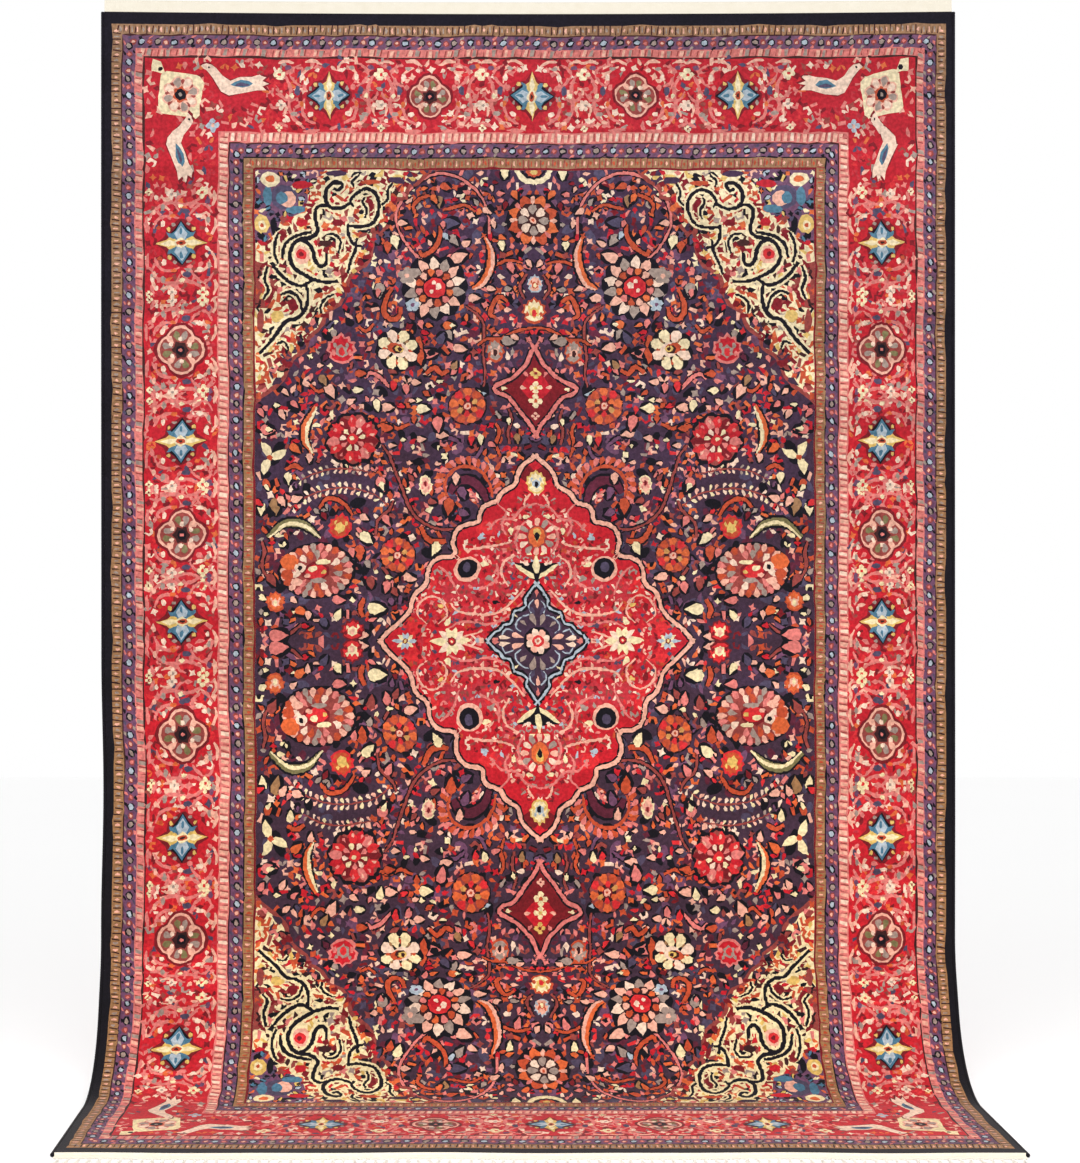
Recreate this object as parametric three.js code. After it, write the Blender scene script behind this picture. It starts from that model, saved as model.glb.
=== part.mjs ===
// A hand-knotted wool rug on a cotton foundation, hung by its top end so that its lower end
// curves forward and lies on the floor.
// Millimetres, +Z up. The pile faces -Y. The origin is the middle of the bounding box's
// footprint, on the floor.
//
// Every piece is first laid out flat: x across the rug, s down its pile face from the top edge,
// h up from its underside. rugPoint() then puts that flat layout where the hung rug lies.
import * as THREE from 'three';

// The knotted rug, flat
const pileWidth = 2031;
const rugThickness = 10;
const webThickness = 3.2;
const gap = 0.3;

// The side view, followed down the pile face: a wall run, a slight bend, a short slope, the main
// bend and the run along the floor
const wallRun = 2215;
const upperBendRadius = 300;
const upperBendAngle = 0.33;
const slopeRun = 84;
const lowerBendRadius = 249;
const lowerBendAngle = Math.PI / 2 - upperBendAngle;
const floorRun = 427;

// The unevenness of a hand-made rug that hangs by its top edge
const topSag = 6;
const topSagReach = 900;
const footDriftPerReach = 0.0405;
const leftEdgeBow = 5;
const leftEdgeBowMiddle = 1870;
const leftEdgeBowHalfLength = 330;
const frontEdgeWave = 5;
const frontEdgeWaveReach = 350;
const hangingRipple = 3;
const rippleStart = 300;
const rippleFull = 1500;
const rippleFade = 350;

// The edges and ends
const selvedgeDiameter = 9;
const selvedgeSides = 8;
const hemHeight = 29;
const hemLayerGap = 0.6;
const kilimLength = 16;
const fringeHeader = 6;
const fringeLength = 60;
const fringeThickness = 2.4;
const tasselCount = 92;
const tasselShare = 0.42;

// How finely each stretch is divided
const acrossSteps = 24;
const wallSteps = 13;
const upperBendSteps = 3;
const lowerBendSteps = 9;
const floorSteps = 5;

const runs = [
  { length: wallRun, turn: 0, steps: wallSteps },
  { length: upperBendRadius * upperBendAngle, turn: upperBendAngle, steps: upperBendSteps },
  { length: slopeRun, turn: 0, steps: 1 },
  { length: lowerBendRadius * lowerBendAngle, turn: lowerBendAngle, steps: lowerBendSteps },
  { length: floorRun, turn: 0, steps: floorSteps },
];
const pileLength = runs.reduce((sum, run) => sum + run.length, 0);

// Walks down the pile face for a length s and gives how far forward and how far down it has come,
// and how far it has turned from straight down towards straight forward. The first and last runs
// go on past their ends.
function profileAt(s) {
  const place = { forward: 0, drop: 0, turned: 0 };
  let left = s;
  for (const run of runs) {
    const walked = run === runs[runs.length - 1] ? left : Math.min(left, run.length);
    const turn = (run.turn * walked) / run.length;
    const chord = run.turn === 0 || walked === 0 ? walked : (2 * walked * Math.sin(turn / 2)) / turn;
    place.forward += chord * Math.sin(place.turned + turn / 2);
    place.drop += chord * Math.cos(place.turned + turn / 2);
    place.turned += turn;
    left -= walked;
    if (left <= 0) {
      break;
    }
  }
  return place;
}

const totalDrop = profileAt(pileLength).drop;

// A soft hump, 1 in the middle and 0 from halfLength on
function hump(distance, halfLength) {
  const share = Math.min(Math.abs(distance) / halfLength, 1);
  return Math.cos((share * Math.PI) / 2) ** 2;
}

function smoothRise(value, from, to) {
  const share = Math.min(Math.max((value - from) / (to - from), 0), 1);
  return share * share * (3 - 2 * share);
}

// How far the lower end runs past its mean line. It is straight between the rug's divisions, so
// that the finer-divided fringe fits it too.
function frontWave(across) {
  const waveAt = (u) => frontEdgeWave * (0.6 * Math.sin(u * 9.1 + 0.7) + 0.4 * Math.sin(u * 17.3 + 2.1));
  const division = ((across + 1) / 2) * acrossSteps;
  const before = Math.floor(division);
  const start = waveAt((2 * before) / acrossSteps - 1);
  const end = waveAt((2 * (before + 1)) / acrossSteps - 1);
  return start + (end - start) * (division - before);
}

function rippleDepth(across, s) {
  const growing = smoothRise(s, rippleStart, rippleFull);
  const dying = 1 - smoothRise(s, wallRun - rippleFade, wallRun);
  return hangingRipple * growing * dying * Math.sin(across * 4.2 + s / 640);
}

// From the flat layout (x, s, h) to where that point lies on the hung rug
function rugPoint(x, s, h) {
  const across = x / (pileWidth / 2);
  const sag = topSag * (1 - across * across) * (1 - smoothRise(s, 0, topSagReach));
  const wave = frontWave(across) * smoothRise(s, pileLength - frontEdgeWaveReach, pileLength);
  const { forward, drop, turned } = profileAt(s + sag + wave);
  const below = rugThickness - h;
  const bow = leftEdgeBow * hump(s - leftEdgeBowMiddle, leftEdgeBowHalfLength) * (1 - across) / 2;
  const reach = forward - below * Math.cos(turned) + rippleDepth(across, s);
  const height = rugThickness + totalDrop - drop - below * Math.sin(turned);
  return new THREE.Vector3(x + bow + footDriftPerReach * forward, -reach, height);
}

// Moves a geometry from the flat layout, in which local y runs up the rug from topS, to its place
function lay(geometry, topS, stationOf = (down) => down) {
  const position = geometry.attributes.position;
  for (let i = 0; i < position.count; i += 1) {
    const s = topS + stationOf(-position.getY(i));
    const placed = rugPoint(position.getX(i), s, position.getZ(i));
    position.setXYZ(i, placed.x, placed.y, placed.z);
  }
  geometry.computeVertexNormals();
  return geometry;
}

// The stations that the long pieces are divided at: even on each run
const stations = [0];
runs.forEach((run) => {
  const start = stations[stations.length - 1];
  for (let step = 1; step <= run.steps; step += 1) {
    stations.push(start + (run.length * step) / run.steps);
  }
});
const lengthSteps = stations.length - 1;

const rug = new THREE.Group();

function addPiece(name, geometry, colour) {
  const material = new THREE.MeshStandardMaterial({ color: colour, roughness: 0.9, metalness: 0 });
  const mesh = new THREE.Mesh(geometry, material);
  mesh.name = name;
  rug.add(mesh);
}

// A long piece is made lengthSteps tall, one unit for each step, and then stretched to the stations
const stationAt = (down) => stations[Math.round(down)];

function knottedPile() {
  const slab = new THREE.BoxGeometry(
    pileWidth, lengthSteps, rugThickness, acrossSteps, lengthSteps, 1);
  slab.translate(0, -lengthSteps / 2, rugThickness / 2);
  return lay(slab, 0, stationAt);
}

// The side edge: several warps bound together with wool into a cord
function selvedge(side) {
  const flatRadius = selvedgeDiameter / 2;
  const cornerRadius = flatRadius / Math.cos(Math.PI / selvedgeSides);
  const cord = new THREE.CylinderGeometry(
    cornerRadius, cornerRadius, lengthSteps, selvedgeSides, lengthSteps, false,
    Math.PI / selvedgeSides);
  const middle = side * (pileWidth / 2 + gap + cornerRadius);
  cord.translate(middle, -lengthSteps / 2, flatRadius);
  return lay(cord, 0, stationAt);
}

// The woven web above the pile, turned over to the back at the top and sewn down
function topHem() {
  const outer = webThickness + hemLayerGap / 2;
  const section = new THREE.Shape();
  section.moveTo(-outer, 0);
  section.lineTo(-hemLayerGap / 2, 0);
  section.lineTo(-hemLayerGap / 2, hemHeight - outer);
  section.lineTo(hemLayerGap / 2, hemHeight - outer);
  section.lineTo(hemLayerGap / 2, 0);
  section.lineTo(outer, 0);
  section.lineTo(outer, hemHeight - outer);
  section.absarc(0, hemHeight - outer, outer, 0, Math.PI, false);
  section.closePath();
  const hem = new THREE.ExtrudeGeometry(section, {
    depth: pileWidth, steps: acrossSteps, bevelEnabled: false, curveSegments: 3 });
  hem.translate(0, gap, -pileWidth / 2);
  hem.rotateY(Math.PI / 2);
  // the section's own x is now the depth, with the pile side in front
  hem.translate(0, 0, rugThickness / 2);
  return lay(hem, 0);
}

function bottomKilim() {
  const web = new THREE.BoxGeometry(pileWidth, kilimLength, webThickness, acrossSteps, 1, 1);
  web.translate(0, -kilimLength / 2, webThickness / 2);
  return lay(web, pileLength + gap);
}

// A flat plate made of the filled cells of a grid, xs across and ss down, laid on the rug's
// underside. Walking round a filled cell's upper face gives a side wall wherever the next cell
// is empty.
function cellPlate(xs, ss, thickness, isFilled) {
  const corners = [];
  for (const h of [0, thickness]) {
    for (const s of ss) {
      for (const x of xs) {
        corners.push(...rugPoint(x, s, h).toArray());
      }
    }
  }
  const filled = (i, j) => i >= 0 && j >= 0 && i < xs.length - 1 && j < ss.length - 1
    && isFilled(i, j);
  const upper = ([i, j]) => (ss.length + j) * xs.length + i;
  const lower = ([i, j]) => j * xs.length + i;
  const faces = [];
  const addQuad = (a, b, c, d) => faces.push(a, b, c, a, c, d);
  for (let j = 0; j < ss.length - 1; j += 1) {
    for (let i = 0; i < xs.length - 1; i += 1) {
      if (filled(i, j)) {
        const ring = [[i, j], [i, j + 1], [i + 1, j + 1], [i + 1, j]];
        const beyond = [[i - 1, j], [i, j + 1], [i + 1, j], [i, j - 1]];
        addQuad(...ring.map(upper));
        addQuad(...ring.map(lower).reverse());
        beyond.forEach(([ni, nj], side) => {
          if (!filled(ni, nj)) {
            const from = ring[side];
            const to = ring[(side + 1) % ring.length];
            addQuad(upper(to), upper(from), lower(from), lower(to));
          }
        });
      }
    }
  }
  const plate = new THREE.BufferGeometry();
  plate.setAttribute('position', new THREE.Float32BufferAttribute(corners, 3));
  plate.setIndex(faces);
  return plate.toNonIndexed();
}

// The warp ends, knotted into tassels: one comb with a header along the web
function bottomFringe() {
  const pitch = pileWidth / tasselCount;
  const clear = (pitch * (1 - tasselShare)) / 2;
  const xs = [];
  for (let i = 0; i < tasselCount; i += 1) {
    const start = -pileWidth / 2 + pitch * i;
    xs.push(start, start + clear, start + pitch - clear);
  }
  xs.push(pileWidth / 2);
  const start = pileLength + gap + kilimLength + gap;
  const ss = [start, start + fringeHeader, start + fringeLength];
  const isFilled = (i, j) => j === 0 || i % 3 === 1;
  return cellPlate(xs, ss, fringeThickness, isFilled);
}

addPiece('knotted_pile', knottedPile(), '#7c2733');
addPiece('selvedge_left', selvedge(-1), '#17141d');
addPiece('selvedge_right', selvedge(1), '#17141d');
addPiece('kilim_top', topHem(), '#e6dcc6');
addPiece('kilim_bottom', bottomKilim(), '#e6dcc6');
addPiece('fringe_bottom', bottomFringe(), '#ece4d2');

// Centres the footprint on the origin; the foot already lies on z = 0
const box = new THREE.Box3().setFromObject(rug);
rug.position.set(-(box.min.x + box.max.x) / 2, -(box.min.y + box.max.y) / 2, 0);
rug.updateMatrixWorld(true);

export default rug;
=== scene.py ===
# A hand-knotted wool rug, hung by its top end so that its lower end curves forward onto the floor.
# The design is drawn here shape by shape, as a weaver's cartoon, and knotted into the pile as
# two meshes, the field and the border, in which every shape keeps its own dye.
import math
import random

import bpy
import numpy as np
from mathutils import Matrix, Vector
from mathutils.bvhtree import BVHTree
from mathutils.geometry import delaunay_2d_cdt


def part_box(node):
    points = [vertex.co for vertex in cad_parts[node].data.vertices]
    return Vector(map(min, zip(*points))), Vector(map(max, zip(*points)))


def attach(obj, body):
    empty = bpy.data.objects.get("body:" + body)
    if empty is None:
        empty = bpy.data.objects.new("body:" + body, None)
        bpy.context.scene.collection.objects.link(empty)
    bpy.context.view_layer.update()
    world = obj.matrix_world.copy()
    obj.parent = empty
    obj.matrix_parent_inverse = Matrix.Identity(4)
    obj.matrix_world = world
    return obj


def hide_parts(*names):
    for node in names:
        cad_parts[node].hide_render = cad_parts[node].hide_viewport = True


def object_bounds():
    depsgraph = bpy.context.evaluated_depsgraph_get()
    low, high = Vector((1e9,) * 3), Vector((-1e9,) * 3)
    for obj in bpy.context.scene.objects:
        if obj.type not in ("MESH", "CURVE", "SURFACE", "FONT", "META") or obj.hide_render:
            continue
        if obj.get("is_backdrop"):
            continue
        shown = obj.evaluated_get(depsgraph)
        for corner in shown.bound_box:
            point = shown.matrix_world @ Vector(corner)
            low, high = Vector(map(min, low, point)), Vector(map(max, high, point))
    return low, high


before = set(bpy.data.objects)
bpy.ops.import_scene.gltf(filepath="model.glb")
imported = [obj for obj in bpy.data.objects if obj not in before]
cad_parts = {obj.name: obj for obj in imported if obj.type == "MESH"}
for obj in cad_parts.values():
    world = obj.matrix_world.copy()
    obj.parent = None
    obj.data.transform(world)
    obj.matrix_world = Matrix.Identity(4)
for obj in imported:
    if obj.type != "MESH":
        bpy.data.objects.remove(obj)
cad_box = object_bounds()

MM = 0.001

# ---- The rug's sizes, in millimetres, as in the part's own source ----

PILE_WIDTH = 2031
THICKNESS = 10
WEB_THICKNESS = 3.2
SELVEDGE_DIAMETER = 9
HEM_HEIGHT = 29
KILIM_LENGTH = 16
FRINGE_LENGTH = 60
GAP = 0.3

# the side view, followed down the pile face: (length, turn in radians)
UPPER_RADIUS = 300
UPPER_TURN = 0.33
LOWER_RADIUS = 249
LOWER_TURN = math.pi / 2 - UPPER_TURN
RUNS = (
    (2215, 0),
    (UPPER_RADIUS * UPPER_TURN, UPPER_TURN),
    (84, 0),
    (LOWER_RADIUS * LOWER_TURN, LOWER_TURN),
    (427, 0),
)
WALL_RUN = RUNS[0][0]
PILE_LENGTH = sum(length for length, turn in RUNS)
FLOOR_START = PILE_LENGTH - RUNS[-1][0]

# the unevenness of a hand-made rug that hangs by its top edge
TOP_SAG = 6
TOP_SAG_REACH = 900
FOOT_DRIFT = 0.0405
LEFT_BOW = 5
LEFT_BOW_MIDDLE = 1870
LEFT_BOW_HALF_LENGTH = 330
FRONT_WAVE = 5
FRONT_WAVE_REACH = 350
HANGING_RIPPLE = 3
RIPPLE_START = 300
RIPPLE_FULL = 1500
RIPPLE_FADE = 350
RIPPLE_SLANT = 640


def smooth_rise(value, start, end):
    """Climbs gently from 0 at start to 1 at end."""
    share = np.clip((value - start) / (end - start), 0, 1)
    return share * share * (3 - 2 * share)


def profile(s):
    """How far forward and down the pile face has come after a length s, and how far it has turned."""
    forward, drop, turned = np.zeros_like(s), np.zeros_like(s), np.zeros_like(s)
    left = s
    for index, (length, turn) in enumerate(RUNS):
        walked = left if index == len(RUNS) - 1 else np.minimum(left, length)
        bend = turn * walked / length
        chord = walked * np.sinc(bend / (2 * math.pi))
        forward = forward + chord * np.sin(turned + bend / 2)
        drop = drop + chord * np.cos(turned + bend / 2)
        turned = turned + bend
        left = left - walked
    return forward, drop, turned


TOTAL_DROP = float(profile(np.array([float(PILE_LENGTH)]))[1][0])
hem_low, hem_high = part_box("kilim_top")
WALL_X = (hem_low.x + hem_high.x) / 2 / MM
WALL_Y = (hem_low.y + hem_high.y) / 2 / MM - THICKNESS / 2


def rug_point(x, s, h):
    """From the flat rug to the hung one, in metres. On the flat rug x runs across, s down the pile
    face and h up from the underside."""
    x, s, h = (np.asarray(value, float) for value in (x, s, h))
    across = x / (PILE_WIDTH / 2)
    sag = TOP_SAG * (1 - across**2) * (1 - smooth_rise(s, 0, TOP_SAG_REACH))
    wave = 0.6 * np.sin(across * 9.1 + 0.7) + 0.4 * np.sin(across * 17.3 + 2.1)
    wave = FRONT_WAVE * wave * smooth_rise(s, PILE_LENGTH - FRONT_WAVE_REACH, PILE_LENGTH)
    forward, drop, turned = profile(s + sag + wave)
    growing = smooth_rise(s, RIPPLE_START, RIPPLE_FULL)
    dying = 1 - smooth_rise(s, WALL_RUN - RIPPLE_FADE, WALL_RUN)
    ripple = HANGING_RIPPLE * (growing * dying) * np.sin(across * 4.2 + s / RIPPLE_SLANT)
    bow_share = np.clip(np.abs(s - LEFT_BOW_MIDDLE) / LEFT_BOW_HALF_LENGTH, 0, 1)
    bow = LEFT_BOW * np.cos(bow_share * math.pi / 2) ** 2 * (1 - across) / 2
    below = THICKNESS - h
    reach = forward - below * np.cos(turned) + ripple
    height = THICKNESS + TOTAL_DROP - drop - below * np.sin(turned)
    placed = (WALL_X + x + bow + FOOT_DRIFT * forward, WALL_Y - reach, height)
    return np.stack(np.broadcast_arrays(*placed), axis=-1) * MM

# ---- The cartoon: everything here is in design millimetres from the medallion's middle, x across
# and y along, drawn for one quarter and mirrored. Later shapes lie on top of earlier ones. ----

FIELD_X, FIELD_Y = 670, 1131
BORDER = 375
ALL_FOUR = ((1, 1), (-1, 1), (1, -1), (-1, -1))
TWO_ENDS = ((1, 1), (1, -1))
TWO_SIDES = ((1, 1), (-1, 1))
ONCE = ((1, 1),)

# every painted shape as (dye, outline), and the numbers of those that belong to the small filling
shapes = []
filling = set()


def polar(angle, radius=1.0):
    return np.array((math.cos(math.radians(angle)), math.sin(math.radians(angle)))) * radius


def facing(angle):
    """Multiplying an outline that grows along +x by this makes it grow along angle."""
    return np.array((polar(angle), polar(angle + 90)))


def stencil(x, y, tilt=0.0, size=1.0, mirrors=ALL_FOUR):
    """A place to draw at: returns paint(dye, outline), which sets an outline down there and mirrors it."""
    def paint(dye, outline):
        placed = np.asarray(outline, float) * size @ facing(tilt) + (x, y)
        for across, along in mirrors:
            shapes.append((dye, placed * (across, along)))
    return paint


# outlines, each as a list of points

def oval(rx, ry=None, x=0.0, y=0.0, points=10):
    angles = np.arange(points) * 2 * math.pi / points
    return np.stack((x + rx * np.cos(angles), y + (ry or rx) * np.sin(angles)), axis=1)


def lobed(radius, depth, lobes, x=0.0, y=0.0, turn=0.0, steps=4):
    """A disc whose edge swells into petals."""
    angles = np.arange(lobes * steps) * 2 * math.pi / (lobes * steps)
    radii = radius - depth * (1 - np.abs(np.sin(angles * lobes / 2)))
    angles = angles + math.radians(turn)
    return np.stack((x + radii * np.cos(angles), y + radii * np.sin(angles)), axis=1)


def leaf(length, width, bend=0.0, x=0.0, y=0.0):
    """A pointed leaf growing along +x from (x, y), its middle pushed sideways by bend."""
    shares = np.array((0, 0.2, 0.5, 0.8, 1))
    middle = 4 * bend * shares * (1 - shares)
    half = width / 2 * np.sin(math.pi * shares ** 0.85)
    upper = np.stack((x + length * shares, y + middle + half), axis=1)
    lower = np.stack((x + length * shares, y + middle - half), axis=1)[1:-1]
    return np.concatenate((lower, upper[::-1]))


def drop(length, width, x=0.0, y=0.0):
    """A bud: pointed where it starts and round at its far end."""
    shares = ((0, 0), (0.35, 0.32), (0.65, 0.5), (0.88, 0.38), (1, 0))
    upper = [(x + length * along, y + width * side) for along, side in shares]
    lower = [(x + length * along, y - width * side) for along, side in shares[1:-1]]
    return np.array(lower + upper[::-1])


def smooth_line(points, steps=4):
    """A Catmull-Rom line through the points."""
    points = np.asarray(points, float)
    ends = np.concatenate((2 * points[:1] - points[1:2], points, 2 * points[-1:] - points[-2:-1]))
    line = []
    for a, b, c, d in zip(ends, ends[1:], ends[2:], ends[3:]):
        for t in np.arange(steps) / steps:
            line.append(0.5 * (2 * b + (c - a) * t + (2 * a - 5 * b + 4 * c - d) * t**2
                               + (3 * b - a - 3 * c + d) * t**3))
    line.append(points[-1])
    return np.array(line)


def ribbon(paint, dye, points, width, taper=0.0, steps=4):
    """A vine or outline of even width, or thinning towards both ends by taper."""
    line = smooth_line(points, steps)
    along = np.gradient(line, axis=0)
    side = np.stack((-along[:, 1], along[:, 0]), axis=1)
    side /= np.maximum(np.linalg.norm(side, axis=1, keepdims=True), 1e-9)
    shares = np.linspace(0, 1, len(line))[:, None]
    half = width / 2 * (1 - taper * (1 - np.sin(math.pi * shares)))
    left, right = line + side * half, line - side * half
    for i in range(len(line) - 1):
        corners = np.array((left[i], right[i], right[i + 1], left[i + 1]))
        spokes = corners - corners.mean(axis=0)
        paint(dye, corners[np.argsort(np.arctan2(spokes[:, 1], spokes[:, 0]))])


# motifs that come back all over the rug

def ring_of_petals(paint, count, reach, petal, dyes, turn=0, squash=(1, 1)):
    """Sets one petal outwards, count times round a ring, in the dyes by turns."""
    for i in range(count):
        angle = turn + i * 360 / count
        paint(dyes[i % len(dyes)], (petal @ facing(angle) + polar(angle, reach)) * squash)


def ovals(paint, rows, points=9):
    """Rows of (x, y, half width, half height, dye)."""
    for x, y, rx, ry, dye in rows:
        paint(dye, oval(rx, ry, x, y, points))


def buds(rows, plumpness):
    """Rows of (x, y, direction, length, dye)."""
    for x, y, direction, length, dye in rows:
        stencil(x, y, direction)(dye, drop(length, length * plumpness))


def tendrils(paint, rows):
    """Rows of (points, dye, width)."""
    for points, dye, width in rows:
        ribbon(paint, dye, points, width, 0.4, 3)


def small_flower(paint, radius, petal, middle, petals=5):
    for i in range(petals):
        place = polar(90 + i * 360 / petals, radius * 0.58)
        paint(petal, oval(radius * 0.44, radius * 0.42, place[0], place[1], 6))
    paint(middle, oval(radius * 0.3, points=6))


def palmette(paint, width, height, rim, body, inner, heart):
    """A flower seen from the side, opening towards +y from (0, 0)."""
    half = width / 2
    outline = ((0, 0), (0.45, 0.06), (0.8, 0.2), (0.74, 0.34), (1, 0.42), (0.86, 0.56), (0.9, 0.7),
               (0.6, 0.72), (0.5, 0.88), (0.24, 0.86), (0, 1))
    outline = [(x * half, y * height) for x, y in outline]
    outline += [(-x, y) for x, y in outline[-2:0:-1]]
    middle = np.array((0, height * 0.46))
    outline = np.array(outline)
    paint(rim, outline)
    paint(body, (outline - middle) * 0.82 + middle)
    for side in (-1, 1):
        paint(rim, oval(half * 0.13, height * 0.1, side * half * 0.55, height * 0.36, 6))
        paint(inner, oval(half * 0.12, height * 0.09, side * half * 0.42, height * 0.6, 6))
    paint(inner, lobed(half * 0.46, half * 0.1, 6, 0, height * 0.42, steps=2))
    paint(heart, oval(half * 0.22, height * 0.14, 0, height * 0.4, 7))


def comb_leaf(paint, points, back, teeth, length, pitch, sides=(1,), back_width=5):
    """A feather leaf: a curved back with small leaves along one side or both."""
    line = smooth_line(points, 10)
    steps = np.linalg.norm(np.diff(line, axis=0), axis=1)
    travelled = np.insert(np.cumsum(steps), 0, 0)
    ways = np.gradient(line, axis=0)
    for number, distance in enumerate(np.arange(pitch / 2, travelled[-1], pitch)):
        at = np.searchsorted(travelled, distance)
        angle = math.degrees(math.atan2(ways[at][1], ways[at][0]))
        for side in sides:
            turn = facing(angle + side * 58)
            tooth = drop(length, length * 0.56) @ turn + line[at] + turn[0] * back_width * 0.4
            paint(teeth[number % len(teeth)], tooth)
    ribbon(paint, back, points, back_width, 0.4, 3)


# how small motifs lie between the large ones

def scattered(draw, low, high, pitch):
    """Uneven places about pitch apart, row after row."""
    for row, y in enumerate(np.arange(low[1], high[1], pitch * 0.87)):
        for x in np.arange(low[0] + pitch / 2 * (row % 2), high[0], pitch):
            yield x + draw.uniform(-0.3, 0.3) * pitch, y + draw.uniform(-0.3, 0.3) * pitch


def is_clear(x, y, discs):
    return all((x - dx)**2 + (y - dy)**2 > radius**2 for dx, dy, radius in discs)


def kernel(length, width, x):
    """A bud with as few points as the small filling needs."""
    return np.array(((x, 0), (x + length * 0.6, -width / 2), (x + length * 0.96, -width * 0.24),
                     (x + length * 0.96, width * 0.24), (x + length * 0.6, width / 2)))


def small_motif(paint, draw, reach, dye, shade=None):
    """One bud, leaf, pair of buds, hook, blossom or bar, reach across to either side."""
    kind = draw.choice(("bud", "bud", "pair", "hook", "blossom", "blossom", "bar", "leaf"))
    if shade:
        paint(shade, oval(reach * 1.25, reach * 0.95, 0, 0, 6))
    if kind == "bud":
        paint(dye, kernel(reach * 2, reach * 1.2, -reach))
    elif kind == "leaf":
        paint(dye, leaf(reach * 2.3, reach * 0.95, reach * 0.25, -reach * 1.1))
    elif kind == "pair":
        for side in (-1, 1):
            paint(dye, kernel(reach * 1.7, reach * 0.84, 0) @ facing(side * 38) - (reach * 0.7, 0))
    elif kind == "hook":
        ribbon(paint, dye, ((-reach, -reach * 0.5), (-reach * 0.3, reach * 0.6), (reach * 0.8, reach * 0.3),
                            (reach * 0.8, -reach * 0.7)), reach * 0.76, 0.2, 1)
    elif kind == "blossom":
        paint(dye, lobed(reach * 1.05, reach * 0.5, 4, steps=2))
    else:
        paint(dye, ((-reach, -reach * 0.42), (reach, -reach * 0.36), (reach * 1.1, reach * 0.3),
                    (-reach * 0.9, reach * 0.46)))


def sprinkle(seed, low, high, pitch, allowed, discs, dyes, shades=(None,), mirrors=ALL_FOUR,
             sizes=(0.34, 0.46)):
    """Fills a stretch with small motifs and notes which shapes they are."""
    first = len(shapes)
    draw = random.Random(seed)
    for x, y in scattered(draw, low, high, pitch):
        turn = draw.uniform(0, 360)
        dye = draw.choice(dyes)
        shade = draw.choice(shades)
        reach = draw.uniform(*sizes)
        if allowed(x, y) and is_clear(x, y, discs):
            small_motif(stencil(x, y, turn, mirrors=mirrors), draw, reach * pitch, dye, shade)
    filling.update(range(first, len(shapes)))


# ---- Field ----

def rectangle(x, y):
    return np.array(((-x, -y), (x, -y), (x, y), (-x, y)), float)


def field_ground():
    stencil(0, 0, mirrors=ONCE)("night", rectangle(FIELD_X + 4, FIELD_Y + 4))


MEDALLION_EDGE = (
    (-8, 446), (12, 434), (30, 419), (44, 398), (50, 374), (68, 362), (84, 350), (94, 334), (112, 328),
    (128, 320), (136, 302), (140, 286), (160, 281), (182, 272), (196, 254), (199, 232), (194, 210),
    (204, 202), (226, 200), (246, 189), (257, 168), (260, 144), (270, 128), (286, 118), (296, 98),
    (303, 72), (324, 50), (346, 32), (364, 14), (378, -6),
)


def edge_at(edge, x):
    """How far along the rug an outline lies at x."""
    known_x, known_y = zip(*edge)
    return np.interp(x, known_x, known_y)


def deep_in_medallion(x, y):
    """Inside the busy middle of the medallion, which leaves its outer lobes plain."""
    share = 0.86 if y > 120 else 0.88
    return x < 330 and y < edge_at(MEDALLION_EDGE, x) * share and x / 118 + y / 138 > 1


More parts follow.
